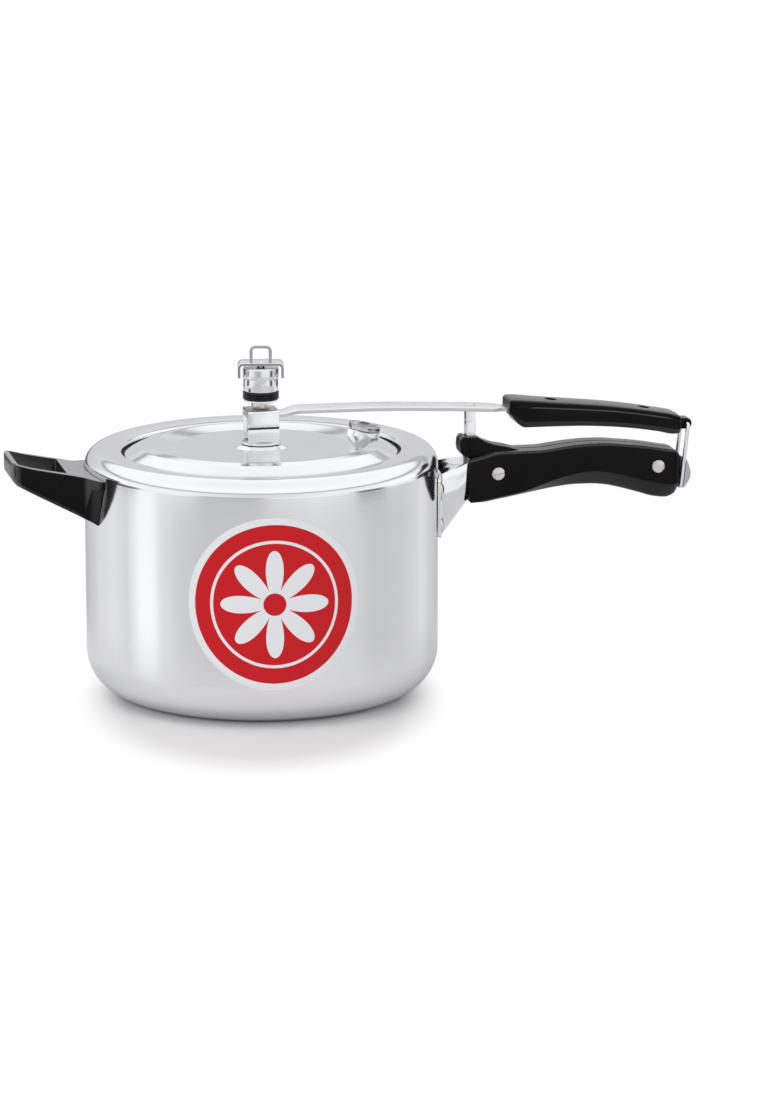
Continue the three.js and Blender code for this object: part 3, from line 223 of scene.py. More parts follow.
# Label: a round printed film stuck on the front of the wall and bent to it.
# It has a white border and a red field with a plain rosette.
LABEL_R = 54.5
LABEL_Z = 80.0
LABEL_TURN = math.radians(-97)
FILM_STEPS = 24
FILM_SPOKES = 96
FILM_LIFT = 0.45
FILM_EDGE_LIFT = 0.2
RED_INK = linear("d0121c")
WHITE_INK = linear("f1f3f7")
label_bm = bmesh.new()
label_uv = label_bm.loops.layers.uv.new("film")
label_rings = []
for k in range(FILM_STEPS + 1):
    reach = LABEL_R * k / FILM_STEPS
    lift = POT_R + (FILM_LIFT if k < FILM_STEPS else FILM_EDGE_LIFT)
    ring = []
    for i in range(FILM_SPOKES if k else 1):
        across = reach * math.cos(2 * math.pi * i / FILM_SPOKES)
        rise = reach * math.sin(2 * math.pi * i / FILM_SPOKES)
        bend = LABEL_TURN + across / (POT_R + 0.4)
        spot = (lift * MM * math.cos(bend), lift * MM * math.sin(bend), (LABEL_Z + rise) * MM)
        ring.append((label_bm.verts.new(spot), across / LABEL_R, rise / LABEL_R))
    label_rings.append(ring)
for inner, outer in zip(label_rings, label_rings[1:]):
    for i in range(FILM_SPOKES):
        j = (i + 1) % FILM_SPOKES
        corners = [inner[i % len(inner)], outer[i], outer[j]] + ([inner[j]] if len(inner) > 1 else [])
        face = label_bm.faces.new([c[0] for c in corners])
        for loop, corner in zip(face.loops, corners):
            loop[label_uv].uv = (corner[1], corner[2])
label_mesh = bpy.data.meshes.new("label")
label_bm.to_mesh(label_mesh)
label_bm.free()

label_finish, tree, surface = new_finish("label_film")
film = wire(tree, "ShaderNodeUVMap", uv_map="film").outputs["UV"]
film_axes = wire(tree, "ShaderNodeSeparateXYZ", {0: film}).outputs
film_reach = length(tree, film)
film_turn = worked(tree, "ARCTAN2", film_axes["Y"], film_axes["X"])
petal_wave = worked(tree, "COSINE", worked(tree, "MULTIPLY", film_turn, 4.0))
petal_reach = spread(tree, worked(tree, "ABSOLUTE", petal_wave), 0.0, 1.0, 0.16, 0.62)
in_petal = worked(tree, "LESS_THAN", film_reach, petal_reach)
out_of_eye = worked(tree, "GREATER_THAN", film_reach, 0.13)
petals = worked(tree, "MULTIPLY", in_petal, out_of_eye)
rings_print = colour_steps(tree, film_reach, [(0.0, RED_INK), (0.70, WHITE_INK), (0.735, RED_INK),
                                              (0.915, WHITE_INK)], "CONSTANT")
ink = mixed(tree, petals, rings_print, (*WHITE_INK, 1))
fibre = mottle(tree, film, 60.0, 3.0)
brighter = spread(tree, fibre, 0.0, 1.0, 0.97, 1.03)
tone = wire(tree, "ShaderNodeHueSaturation", {"Color": ink, "Value": brighter}).outputs["Color"]
fill(tree, surface, {"Base Color": tone, "Roughness": spread(tree, fibre, 0.0, 1.0, 0.32, 0.42),
                     "Normal": relief(tree, 0.05, 0.0002, fibre), "Specular IOR Level": 0.25})
fit_piece("front_label", label_mesh, label_finish, "pot", ["pot_label"])

# Bracket: two-millimetre sheet steel, polished bright, bent so that its strap lies on the wall
# and its two cheeks run out and close up inside the body handle.
BRACKET_T = 2.0
BRACKET_LOW = 99.0
BRACKET_TOP = 137.5
TANG_LOW = 121.0
TANG_TOP = 142.4
TANG_END = (164.0, 8.0)
CHEEK_END = (133.6, 8.4)
CHEEK_RISE_FROM, CHEEK_RISE_TO = 114.0, 134.0
STRAP_ANGLES = (18.4, 18.2, 17.8, 17.2, 16.4, 15.6, 14.8, 14.0, 13.2)
STRAP_CORNER_R = 5.5
STRAP_BACK_ANGLES = [-12 + 2 * i for i in range(13)]
WALL_GAP = 0.3


def polished_steel(name, bright, dull, roughness, grain, darker_face_axis=None, cut_edge_and_painted_shade=None):
    """Bright steel with a fine drawn grain along X and faint handling marks; faces across one axis are
    painted darker: painted shade and painted reflection, partly duller cut edges.
    """
    finish, tree, surface = new_finish(name)
    place = wire(tree, "ShaderNodeTexCoord").outputs["Object"]
    stretched = wire(tree, "ShaderNodeMapping", {"Vector": place, "Scale": (0.06, 1.0, 1.0)}).outputs[0]
    drawn = mottle(tree, stretched, 1400.0, 2.0)
    marks = mottle(tree, place, 70.0, 5.0, 0.65)
    shade = colour_steps(tree, marks, [(0.32, dull), (0.62, bright)])
    # Faces across the given axis are mixed towards the darker colour: painted shade and painted reflection,
    # partly the duller cut edges.
    if darker_face_axis:
        facing = wire(tree, "ShaderNodeTexCoord").outputs["Normal"]
        across = worked(tree, "ABSOLUTE", wire(tree, "ShaderNodeSeparateXYZ", {0: facing}).outputs[darker_face_axis])
        shade = mixed(tree, spread(tree, across, 0.75, 0.95), shade, (*cut_edge_and_painted_shade, 1))
    fill(tree, surface, {"Base Color": shade, "Metallic": 1.0,
                         "Roughness": spread(tree, marks, 0.3, 0.7, roughness * 0.8, roughness * 1.3),
                         "Normal": relief(tree, grain, 0.00004, drawn)})
    return finish


def rounded(points, radius, steps, closed=True):
    """The same outline with each corner turned into an arc."""
    smooth = []
    count = len(points)
    for i, (px, py) in enumerate(points):
        r = radius[i] if isinstance(radius, (list, tuple)) else radius
        if r <= 0 or (not closed and i in (0, count - 1)):
            smooth.append((px, py))
            continue
        corner = Vector((px, py))
        back = Vector(points[i - 1]) - corner
        ahead = Vector(points[(i + 1) % count]) - corner
        half = back.angle(ahead) / 2
        if half > math.radians(88):
            smooth.append((px, py))
            continue
        run = min(r / math.tan(half), back.length * 0.48, ahead.length * 0.48)
        r = run * math.tan(half)
        middle = corner + (back.normalized() + ahead.normalized()).normalized() * (r / math.sin(half))
        first = corner + back.normalized() * run - middle
        last = corner + ahead.normalized() * run - middle
        turn = first.angle_signed(last)
        for k in range(steps + 1):
            spoke = first.copy()
            spoke.rotate(Matrix.Rotation(-turn * k / steps, 2))
            smooth.append(tuple(middle + spoke))
    return smooth


def loft(rings, caps=True):
    """A skin through rings of points in millimetres."""
    bm = bmesh.new()
    rows = [[bm.verts.new((x * MM, y * MM, z * MM)) for x, y, z in ring] for ring in rings]
    count = len(rows[0])
    for low, high in zip(rows, rows[1:]):
        for i in range(count):
            j = (i + 1) % count
            bm.faces.new((low[i], low[j], high[j], high[i]))
    if caps:
        bm.faces.new(rows[0][::-1])
        bm.faces.new(rows[-1])
    bmesh.ops.remove_doubles(bm, verts=bm.verts, dist=1e-7)
    bmesh.ops.recalc_face_normals(bm, faces=bm.faces)
    mesh = bpy.data.meshes.new("loft")
    bm.to_mesh(mesh)
    bm.free()
    return mesh


def joined(*meshes):
    """One mesh from several shells."""
    bm = bmesh.new()
    for mesh in meshes:
        bm.from_mesh(mesh)
        bpy.data.meshes.remove(mesh)
    whole = bpy.data.meshes.new("joined")
    bm.to_mesh(whole)
    bm.free()
    return whole


def softened(mesh, width, segments=2, from_angle=38):
    """The same mesh with its sharp edges broken."""
    bm = bmesh.new()
    bm.from_mesh(mesh)
    bm.normal_update()
    edges = [e for e in bm.edges if len(e.link_faces) == 2 and e.calc_face_angle() > math.radians(from_angle)]
    bmesh.ops.bevel(bm, geom=edges, offset=width * MM, segments=segments, profile=0.5, affect="EDGES",
                    clamp_overlap=True)
    bmesh.ops.recalc_face_normals(bm, faces=bm.faces)
    bm.to_mesh(mesh)
    bm.free()
    return mesh


def bent_sheet(path, heights, thickness):
    """Sheet metal that follows a path of (x, y) points, with (low, top) heights along it."""
    rings = []
    for i, (x, y) in enumerate(path):
        before = Vector(path[max(i - 1, 0)])
        after = Vector(path[min(i + 1, len(path) - 1)])
        along = (after - before).normalized()
        out = Vector((along.y, -along.x)) * (thickness / 2)
        low, top = heights[i]
        rings.append([(x - out.x, y - out.y, low), (x + out.x, y + out.y, low),
                      (x + out.x, y + out.y, top), (x - out.x, y - out.y, top)])
    return loft(rings)


steel_finish = polished_steel("bright_steel", (0.90, 0.905, 0.91), (0.83, 0.835, 0.84), 0.07, 0.15)
strap_r = POT_R + WALL_GAP + BRACKET_T / 2
bracket_shells = []
for side in (-1, 1):
    wall_run = [(strap_r * math.cos(math.radians(a)), side * strap_r * math.sin(math.radians(a)))
                for a in STRAP_ANGLES]
    corner_run = rounded([wall_run[-1], (strap_r * math.cos(0.2), side * strap_r * math.sin(0.2)),
                          (CHEEK_END[0], side * CHEEK_END[1]), (TANG_END[0], side * TANG_END[1])],
                         [0, 5.0, 12.0, 0], 7, False)
    path = wall_run + corner_run[1:]
    spans = []
    for i, (x, y) in enumerate(path):
        if i < len(wall_run):
            nip = STRAP_CORNER_R * (1 - math.sqrt(1 - (1 - min(i / 4, 1)) ** 2))
            spans.append((BRACKET_LOW + nip, BRACKET_TOP - nip))
        else:
            share = min(max((x - CHEEK_RISE_FROM) / (CHEEK_RISE_TO - CHEEK_RISE_FROM), 0), 1)
            spans.append((BRACKET_LOW + (TANG_LOW - BRACKET_LOW) * share,
                          BRACKET_TOP + (TANG_TOP - BRACKET_TOP) * share))
    bracket_shells.append(softened(bent_sheet(path, spans, BRACKET_T), 0.45))
back_run = [(strap_r * math.cos(math.radians(a)), strap_r * math.sin(math.radians(a)))
            for a in STRAP_BACK_ANGLES]
back_spans = [(BRACKET_LOW, BRACKET_TOP)] * len(back_run)
bracket_shells.append(softened(bent_sheet(back_run, back_spans, BRACKET_T), 0.4))
fit_piece("handle_bracket_sheet", joined(*bracket_shells), steel_finish, "pot", ["handle_bracket"])

# Bracket rivets: four nickel-plated rivets through strap and wall, flat inside and domed outside.
# One head is made and set at each place.
RIVET_ACROSS = 31.2
RIVET_HEAD_AT = POT_R + 2.4
RIVET_LOW = BRACKET_LOW + 8
RIVET_HIGH = BRACKET_TOP - 8


def node_tree(name, inputs):
    """An empty piece-making tree with a geometry input, named size inputs and a geometry output."""
    tree = bpy.data.node_groups.new(name, "GeometryNodeTree")
    tree.interface.new_socket("Places", in_out="INPUT", socket_type="NodeSocketGeometry")
    sockets = {}
    for label, kind in inputs:
        sockets[label] = tree.interface.new_socket(label, in_out="INPUT", socket_type="NodeSocket" + kind)
    tree.interface.new_socket("Pieces", in_out="OUTPUT", socket_type="NodeSocketGeometry")
    return tree, wire(tree, "NodeGroupInput").outputs, sockets


def set_on_places(tree, given, blank):
    """Ends a tree: the blank on every place, turned to the place's axis, made real, with its finish."""
    axis = wire(tree, "GeometryNodeInputNamedAttribute", {"Name": "axis"}, data_type="FLOAT_VECTOR")
    roll = wire(tree, "GeometryNodeInputNamedAttribute", {"Name": "roll"}, data_type="FLOAT")
    aimed = wire(tree, "FunctionNodeAlignRotationToVector", {"Vector": axis.outputs["Attribute"]}, axis="Z")
    spin = wire(tree, "FunctionNodeAxisAngleToRotation",
                {"Axis": (0, 0, 1), "Angle": roll.outputs["Attribute"]})
    turn = wire(tree, "FunctionNodeRotateRotation", {"Rotation": aimed.outputs["Rotation"],
                                                     "Rotate By": spin.outputs["Rotation"]},
                rotation_space="LOCAL")
    copies = wire(tree, "GeometryNodeInstanceOnPoints", {"Points": given["Places"], "Instance": blank,
                                                         "Rotation": turn.outputs["Rotation"]})
    real = wire(tree, "GeometryNodeRealizeInstances", {"Geometry": copies.outputs["Instances"]})
    dressed = wire(tree, "GeometryNodeSetMaterial", {"Geometry": real.outputs["Geometry"],
                                                     "Material": given["Finish"]})
    wire(tree, "NodeGroupOutput", {"Pieces": dressed.outputs["Geometry"]})


def made_on_places(tree, sockets, places, values):
    """Runs a tree on (place, axis, roll) points in millimetres and gives the plain mesh."""
    points = bpy.data.meshes.new("places")
    points.from_pydata([[c * MM for c in place] for place, _, _ in places], [], [])
    points.attributes.new("axis", "FLOAT_VECTOR", "POINT")
    points.attributes.new("roll", "FLOAT", "POINT")
    for i, (_, direction, turn) in enumerate(places):
        points.attributes["axis"].data[i].vector = direction
        points.attributes["roll"].data[i].value = turn
    holder = bpy.data.objects.new("places", points)
    bpy.context.scene.collection.objects.link(holder)
    maker = holder.modifiers.new("maker", "NODES")
    maker.node_group = tree
    for label, value in values.items():
        maker[sockets[label].identifier] = value
    graph = bpy.context.evaluated_depsgraph_get()
    mesh = bpy.data.meshes.new_from_object(holder.evaluated_get(graph))
    holder.modifiers.clear()
    bpy.data.objects.remove(holder)
    return mesh


rivet_tree, given, rivet_sockets = node_tree(
    "rivet_maker", [("Head radius", "Float"), ("Head height", "Float"), ("Grip", "Float"),
                    ("Finish", "Material")])
ball = wire(rivet_tree, "GeometryNodeMeshUVSphere", {"Segments": 28, "Rings": 14, "Radius": 1.0})
dome_size = wire(rivet_tree, "ShaderNodeCombineXYZ", {"X": given["Head radius"], "Y": given["Head radius"],
                                                      "Z": given["Head height"]})
dome = wire(rivet_tree, "GeometryNodeTransform",
            {"Geometry": ball.outputs["Mesh"], "Scale": dome_size.outputs[0]})
button = wire(rivet_tree, "GeometryNodeMeshCylinder", {"Vertices": 28, "Radius": given["Head radius"],
                                                       "Depth": given["Head height"]})
button_drop = wire(rivet_tree, "ShaderNodeCombineXYZ",
                   {"Z": worked(rivet_tree, "MULTIPLY", given["Grip"], -1.0)})
inner_head = wire(rivet_tree, "GeometryNodeTransform", {"Geometry": button.outputs["Mesh"],
                                                        "Translation": button_drop.outputs[0]})
rivet_blank = wire(rivet_tree, "GeometryNodeJoinGeometry")
for part in (dome, inner_head):
    rivet_tree.links.new(part.outputs["Geometry"], rivet_blank.inputs["Geometry"])
set_on_places(rivet_tree, given, rivet_blank.outputs["Geometry"])

nickel_finish = polished_steel("nickel_plate", (0.78, 0.76, 0.72), (0.66, 0.64, 0.60), 0.24, 0.4)
rivet_places = []
for side in (-1, 1):
    for z in (RIVET_LOW, RIVET_HIGH):
        turn = side * math.asin(RIVET_ACROSS / POT_R)
        out = (math.cos(turn), math.sin(turn), 0)
        rivet_places.append(((out[0] * RIVET_HEAD_AT, out[1] * RIVET_HEAD_AT, z), out, 0))
rivet_mesh = made_on_places(rivet_tree, rivet_sockets, rivet_places,
                            {"Head radius": 0.0044, "Head height": 0.0018, "Grip": 0.0072,
                             "Finish": nickel_finish})
fit_piece("bracket_rivets", rivet_mesh, nickel_finish, "pot",
          ["bracket_rivet_front_low", "bracket_rivet_front_high", "bracket_rivet_rear_low",
           "bracket_rivet_rear_high"])

# Body handle: two halves of black phenolic, hot-pressed in a mould and closed on the bracket's tangs.
# Above the front end stands a narrower horn that the lid's leg rests in.
GRIP_FRONT = 133.5
GRIP_LENGTH = 140.9
GRIP_HALF = 12.0
GRIP_LOW_Z = 112.6
GRIP_H = 38.0
SCREW_Z = 134.0
SCREW_XS = (152.1, 258.1)
SCREW_RECESS_R = 4.5
SCREW_RECESS_FLOOR = 9.4
PARTING = 0.15
HORN_HALF = 6.6
HORN_LIP_HALF = 7.3
LEG_X = 135.8
LEG_Z = 158.6
LEG_R = 3.0
LEG_HALF = 3.6
LEG_GAP = 0.3


def flowing(table, x):
    """Values of a table of rows at x, on a smooth curve that never overshoots the rows."""
    rows = sorted(table)
    x = min(max(x, rows[0][0]), rows[-1][0])
    i = max(k for k in range(len(rows) - 1) if rows[k][0] <= x)
    x0, x1 = rows[i][0], rows[i + 1][0]
    share = (x - x0) / (x1 - x0)
    values = []
    for c in range(1, len(rows[0])):
        def slope(k):
            if k in (0, len(rows) - 1):
                a, b = (0, 1) if k == 0 else (-2, -1)
                return (rows[b][c] - rows[a][c]) / (rows[b][0] - rows[a][0])
            left = (rows[k][c] - rows[k - 1][c]) / (rows[k][0] - rows[k - 1][0])
            right = (rows[k + 1][c] - rows[k][c]) / (rows[k + 1][0] - rows[k][0])
            return 0.0 if left * right <= 0 else 2 * left * right / (left + right)
        a, b = rows[i][c], rows[i + 1][c]
        s2, s3 = share ** 2, share ** 3
        values.append((2 * s3 - 3 * s2 + 1) * a + (s3 - 2 * s2 + share) * (x1 - x0) * slope(i)
                      + (3 * s2 - 2 * s3) * b + (s3 - s2) * (x1 - x0) * slope(i + 1))
    return values


def moulded_black(name, shade, sheen_rough, bloom_and_painted_top_light, sheen_axis):
    """Glossy black out of a polished mould: soft orange-peel, dust-fine speckle, worn a little dull, upward
    faces painted lighter grey as a painted sheen.
    """
    finish, tree, surface = new_finish(name)
    place = wire(tree, "ShaderNodeTexCoord").outputs["Object"]
    peel = mottle(tree, place, 420.0, 2.0)
    wear = mottle(tree, place, 38.0, 5.0, 0.6)
    speck = wire(tree, "ShaderNodeTexVoronoi", {"Vector": place, "Scale": 1600.0}).outputs["Distance"]
    dark = tuple(c * 0.7 for c in shade)
    light = tuple(c * 1.5 for c in shade)
    tone = colour_steps(tree, wear, [(0.3, dark), (0.72, light)])
    facing = wire(tree, "ShaderNodeTexCoord").outputs["Normal"]
    axes = wire(tree, "ShaderNodeSeparateXYZ", {0: facing}).outputs
    # Painted sheen: faces that point up are mixed towards a light grey, standing in for the sky's grazing
    # reflection on the tops.
    painted_top_sheen = mixed(tree, spread(tree, axes["Z"], 0.7, 0.97), tone, (bloom_and_painted_top_light, bloom_and_painted_top_light, bloom_and_painted_top_light * 1.04, 1))
    fine = relief(tree, 0.06, 0.0001, speck)
    slope = worked(tree, "ABSOLUTE", axes[sheen_axis])
    near, far = (0.25, 0.9) if sheen_axis == "Z" else (0.97, 0.6)
    fill(tree, surface, {"Base Color": painted_top_sheen, "Normal": relief(tree, 0.10, 0.0003, peel, fine),
                         "Roughness": spread(tree, wear, 0.3, 0.7, sheen_rough * 0.85, sheen_rough * 1.25),
                         "Specular IOR Level": spread(tree, slope, near, far, 0.10, 1.0)})
    return finish


def cut_away(mesh, cutters):
    """The mesh with the cutters' shapes taken out of it."""
    blank = bpy.data.objects.new("blank", mesh)
    bpy.context.scene.collection.objects.link(blank)
    tools = []
    for cutter in cutters:
        tool = bpy.data.objects.new("tool", cutter)
        bpy.context.scene.collection.objects.link(tool)
        step = blank.modifiers.new("cut", "BOOLEAN")
        step.operation = "DIFFERENCE"
        step.solver = "EXACT"
        step.object = tool
        tools.append(tool)
    graph = bpy.context.evaluated_depsgraph_get()
    result = bpy.data.meshes.new_from_object(blank.evaluated_get(graph))
    for used in [blank, *tools]:
        bpy.data.objects.remove(used)
    return result


def pin(radius, start, end, segments=40):
    """A round rod between two points in millimetres."""
    start, end = Vector(start), Vector(end)
    span = (end - start).length
    mesh = turned([(0, 0), (radius, 0), (radius, span), (0, span)], segments)
    aim = (end - start).to_track_quat("Z", "Y").to_matrix().to_4x4()
    mesh.transform(Matrix.Translation(start * MM) @ aim)
    return mesh


def standing_plate(outline, y0, y1):
    """A plate with an outline of (x, z) points between two places across."""
    return loft([[(x, y0, z) for x, z in outline], [(x, y1, z) for x, z in outline]])


grip_shares = [(0, 1, .967, .079, .105, .805), (.06, 1, .933, .084, .126, .855),
               (.138, 1, .833, .121, .163, .926), (.245, 1, .708, .179, .229, .926),
               (.33, 1, .633, .226, .337, .926), (.415, 1, .583, .268, .439, .958),
               (.5, 1, .567, .292, .511, .989), (.571, 1, .567, .289, .537, 1),
               (.642, 1, .567, .261, .511, .995), (.713, 1, .583, .2, .447, .968),
               (.798, 1, .6, .105, .363, .932), (.869, 1, .617, .026, .295, .889),
               (.926, .983, .617, 0, .247, .85), (.965, .917, .567, .042, .237, .826),
               (.982, .817, .5, .126, .258, .779), (.994, .65, .417, .247, .326, .711),
               (1, .417, .3, .353, .405, .616)]
horn_outline = [(138.5, 143.0), (134.0, 144.4), (131.6, 147.0), (131.0, 151.0), (131.2, 155.4),
                (132.2, 157.6), (139.3, 157.6), (144.5, 154.4), (150.6, 152.1), (159.2, 150.3),
                (165.8, 148.3), (170.0, 146.7), (170.0, 143.0)]
horn_lip = [(135.0, 143.4), (130.6, 145.2), (128.5, 148.2), (128.0, 151.5), (128.4, 155.8), (129.8, 158.0),
            (132.6, 158.2), (133.6, 152.0)]
# Its fifth value paints the handles' upward faces a faint grey: a painted sheen.
black_finish = moulded_black("black_phenolic_skin", (0.0032, 0.0031, 0.0038), 0.24, 0.05, "Z")
for side, label in ((-1, "front"), (1, "rear")):
    rings = []
    spots = [0, .003, .006] + [i / 90 for i in range(1, 87)] + [.97, .978, .984, .989, .993, .996, .998, 1]
    for s in sorted(set(spots)):
        half, under, low, side_low, top = flowing(grip_shares, s)
        nip = {0: 0.8, .003: 0.25}.get(s, 0)
        half = GRIP_HALF * half - nip
        under = GRIP_HALF * under - nip
        low = GRIP_LOW_Z + GRIP_H * low + nip
        edge = GRIP_LOW_Z + GRIP_H * side_low + nip * 0.5
        top = GRIP_LOW_Z + GRIP_H * top - nip
        outline = [(PARTING, low), (under, low), (half, max(edge, low + 0.4)), (half, top), (0.8, top),
                   (PARTING, top - 0.7)]
        bend = min(2.2, (top - edge) * 0.4, half * 0.35)
        section = rounded(outline, [0, min(3.0, under * 0.4), 1.6, bend, 0, 0], 5)
        rings.append([(GRIP_FRONT + GRIP_LENGTH * s, side * u, z) for u, z in section])
    grip = loft(rings)
    recess = [pin(SCREW_RECESS_R, (x, side * SCREW_RECESS_FLOOR, SCREW_Z), (x, side * 20, SCREW_Z))
              for x in SCREW_XS]
    grip = cut_away(grip, recess)
    seat_end = LEG_HALF + LEG_GAP
    seat = pin(LEG_R + LEG_GAP, (LEG_X, -seat_end, LEG_Z), (LEG_X, seat_end, LEG_Z))
    horn = softened(standing_plate(rounded(horn_outline, 2.0, 4), side * PARTING, side * HORN_HALF), 0.9, 3)
    lip = softened(standing_plate(rounded(horn_lip, 1.6, 4), side * PARTING, side * HORN_LIP_HALF), 1.1, 3)
    half_mesh = joined(grip, cut_away(horn, [seat]), lip)
    fit_piece(f"body_handle_{label}", half_mesh, black_finish, "pot", [f"body_handle_{label}_half"],
              40)

# Body-handle screws and nuts: slotted nickel-plated screws go through both halves and the tangs,
# and hexagon nuts sit in the far half's recesses.
screw_tree, given, screw_sockets = node_tree(
    "slotted_screw_maker", [("Head radius", "Float"), ("Head height", "Float"), ("Dome", "Float"),
                            ("Slot width", "Float"), ("Slot depth", "Float"),
                            ("Shank radius", "Float"), ("Shank length", "Float"),
                            ("Finish", "Material")])
head = wire(screw_tree, "GeometryNodeMeshCylinder", {"Vertices": 40, "Fill Segments": 6,
                                                     "Radius": given["Head radius"],
                                                     "Depth": given["Head height"]})
head_spot = wire(screw_tree, "GeometryNodeInputPosition").outputs[0]
head_axes = wire(screw_tree, "ShaderNodeSeparateXYZ", {0: head_spot}).outputs
head_flat = wire(screw_tree, "ShaderNodeCombineXYZ", {"X": head_axes["X"], "Y": head_axes["Y"]})
from_axis = length(screw_tree, head_flat.outputs[0])
reach = worked(screw_tree, "DIVIDE", from_axis, given["Head radius"])
sag = worked(screw_tree, "POWER", reach, 4.0)
above = worked(screw_tree, "GREATER_THAN", head_axes["Z"], 0.0)
sag_top = worked(screw_tree, "MULTIPLY", sag, above)
drop = worked(screw_tree, "MULTIPLY", sag_top, given["Dome"])
drop_down = worked(screw_tree, "MULTIPLY", drop, -1.0)
drop_by = wire(screw_tree, "ShaderNodeCombineXYZ", {"Z": drop_down}).outputs[0]
domed = wire(screw_tree, "GeometryNodeSetPosition", {"Geometry": head.outputs["Mesh"], "Offset": drop_by})
slot_size = wire(screw_tree, "ShaderNodeCombineXYZ",
                 {"X": 0.05, "Y": given["Slot width"], "Z": given["Slot depth"]})
slot_bar = wire(screw_tree, "GeometryNodeMeshCube", {"Size": slot_size.outputs[0]})
half_head = worked(screw_tree, "MULTIPLY", given["Head height"], 0.5)
slot_up = wire(screw_tree, "ShaderNodeCombineXYZ", {"Z": half_head}).outputs[0]
slot_at = wire(screw_tree, "GeometryNodeTransform",
               {"Geometry": slot_bar.outputs["Mesh"], "Translation": slot_up})
slotted = wire(screw_tree, "GeometryNodeMeshBoolean", {"Mesh 1": domed.outputs["Geometry"],
                                                       "Mesh 2": slot_at.outputs["Geometry"]},
               operation="DIFFERENCE", solver="EXACT")
shank = wire(screw_tree, "GeometryNodeMeshCylinder", {"Vertices": 20, "Radius": given["Shank radius"],
                                                      "Depth": given["Shank length"]})
half_shank = worked(screw_tree, "MULTIPLY", given["Shank length"], -0.5)
shank_down = wire(screw_tree, "ShaderNodeCombineXYZ", {"Z": half_shank}).outputs[0]
shank_at = wire(screw_tree, "GeometryNodeTransform",
                {"Geometry": shank.outputs["Mesh"], "Translation": shank_down})
screw_blank = wire(screw_tree, "GeometryNodeJoinGeometry")
for part in (slotted.outputs["Mesh"], shank_at.outputs["Geometry"]):
    screw_tree.links.new(part, screw_blank.inputs["Geometry"])
set_on_places(screw_tree, given, screw_blank.outputs["Geometry"])

screw_places = [((x, -10.9, SCREW_Z), (0, -1, 0), roll) for x, roll in zip(SCREW_XS, (0.15, -0.75))]
screw_mesh = made_on_places(screw_tree, screw_sockets, screw_places,
                            {"Head radius": 0.0041, "Head height": 0.0026, "Dome": 0.0005,
                             "Slot width": 0.0011, "Slot depth": 0.0036, "Shank radius": 0.0022,
                             "Shank length": 0.0225, "Finish": nickel_finish})
fit_piece("body_handle_screws", screw_mesh, nickel_finish, "pot",
          ["body_handle_screw_front", "body_handle_screw_rear"])

nut_tree, given, nut_sockets = node_tree(
    "nut_maker", [("Corner radius", "Float"), ("Height", "Float"), ("Bore", "Float"),
                  ("Finish", "Material")])
hexagon = wire(nut_tree, "GeometryNodeMeshCylinder", {"Vertices": 6, "Radius": given["Corner radius"],
                                                      "Depth": given["Height"]})
crown = wire(nut_tree, "GeometryNodeMeshUVSphere",
             {"Segments": 36, "Rings": 20, "Radius": given["Corner radius"]})
crown_size = wire(nut_tree, "GeometryNodeTransform",
                  {"Geometry": crown.outputs["Mesh"], "Scale": (1.0, 1.0, 0.72)})
faced = wire(nut_tree, "GeometryNodeMeshBoolean", operation="INTERSECT", solver="EXACT")
for part in (hexagon.outputs["Mesh"], crown_size.outputs["Geometry"]):
    nut_tree.links.new(part, faced.inputs["Mesh 2"])
bore = wire(nut_tree, "GeometryNodeMeshCylinder", {"Vertices": 24, "Radius": given["Bore"], "Depth": 0.05})
bored = wire(nut_tree, "GeometryNodeMeshBoolean",
             {"Mesh 1": faced.outputs["Mesh"], "Mesh 2": bore.outputs["Mesh"]}, operation="DIFFERENCE",
             solver="EXACT")
set_on_places(nut_tree, given, bored.outputs["Mesh"])

nut_places = [((x, 10.8, SCREW_Z), (0, 1, 0), 0.3) for x in SCREW_XS]
nut_mesh = made_on_places(nut_tree, nut_sockets, nut_places, {"Corner radius": 0.0044, "Height": 0.003,
                                                              "Bore": 0.0022, "Finish": nickel_finish})
fit_piece("body_handle_nuts", nut_mesh, nickel_finish, "pot",
          ["body_handle_nut_front", "body_handle_nut_rear"])

# Helper handle: one black phenolic moulding, screwed to a stud in the wall, which it hugs
# with flared wings. A trough in its top gives the fingers a hold.
HELPER_LOW_Z = 114.0
HELPER_H = 43.0
HELPER_HALF = 27.0
TROUGH_IN = -128.0
TROUGH_OUT = -158.3
HELPER_ROOT = -100.0
HELPER_REACH = 62.0
TROUGH_FLOOR_Z = 134.6
TROUGH_FLOOR_RISE = 12.2
TROUGH_HALF = 22.4
TROUGH_WALL = 3.4
TROUGH_DRAFT = 5.4
helper_shares = [(0, 1.333, .96, 0, .62, .726), (.113, 1.31, .96, .014, .62, .735),
                 (.21, 1.148, .965, .095, .6, .754), (.298, 1, .96, .163, .215, .778),
                 (.4, .993, .944, .242, .293, .811), (.6, .985, .937, .396, .447, .868),
                 (.82, .967, .919, .565, .616, .935), (.905, .944, .893, .633, .684, .968),
                 (.952, .881, .826, .67, .726, .985), (.984, .763, .704, .712, .767, .99),
                 (1, .6, .53, .749, .802, .98)]
helper_rings = []
trough_in = HELPER_ROOT - TROUGH_IN
trough_out = HELPER_ROOT - TROUGH_OUT
helper_spots = [i * HELPER_REACH / 60 for i in range(55)] + [57.2 + 0.2 * i for i in range(24)]
helper_spots += [trough_in - 0.6, trough_in, trough_in + 0.8]
helper_spots += [trough_out - 1.2, trough_out, trough_out + 0.6, HELPER_REACH]
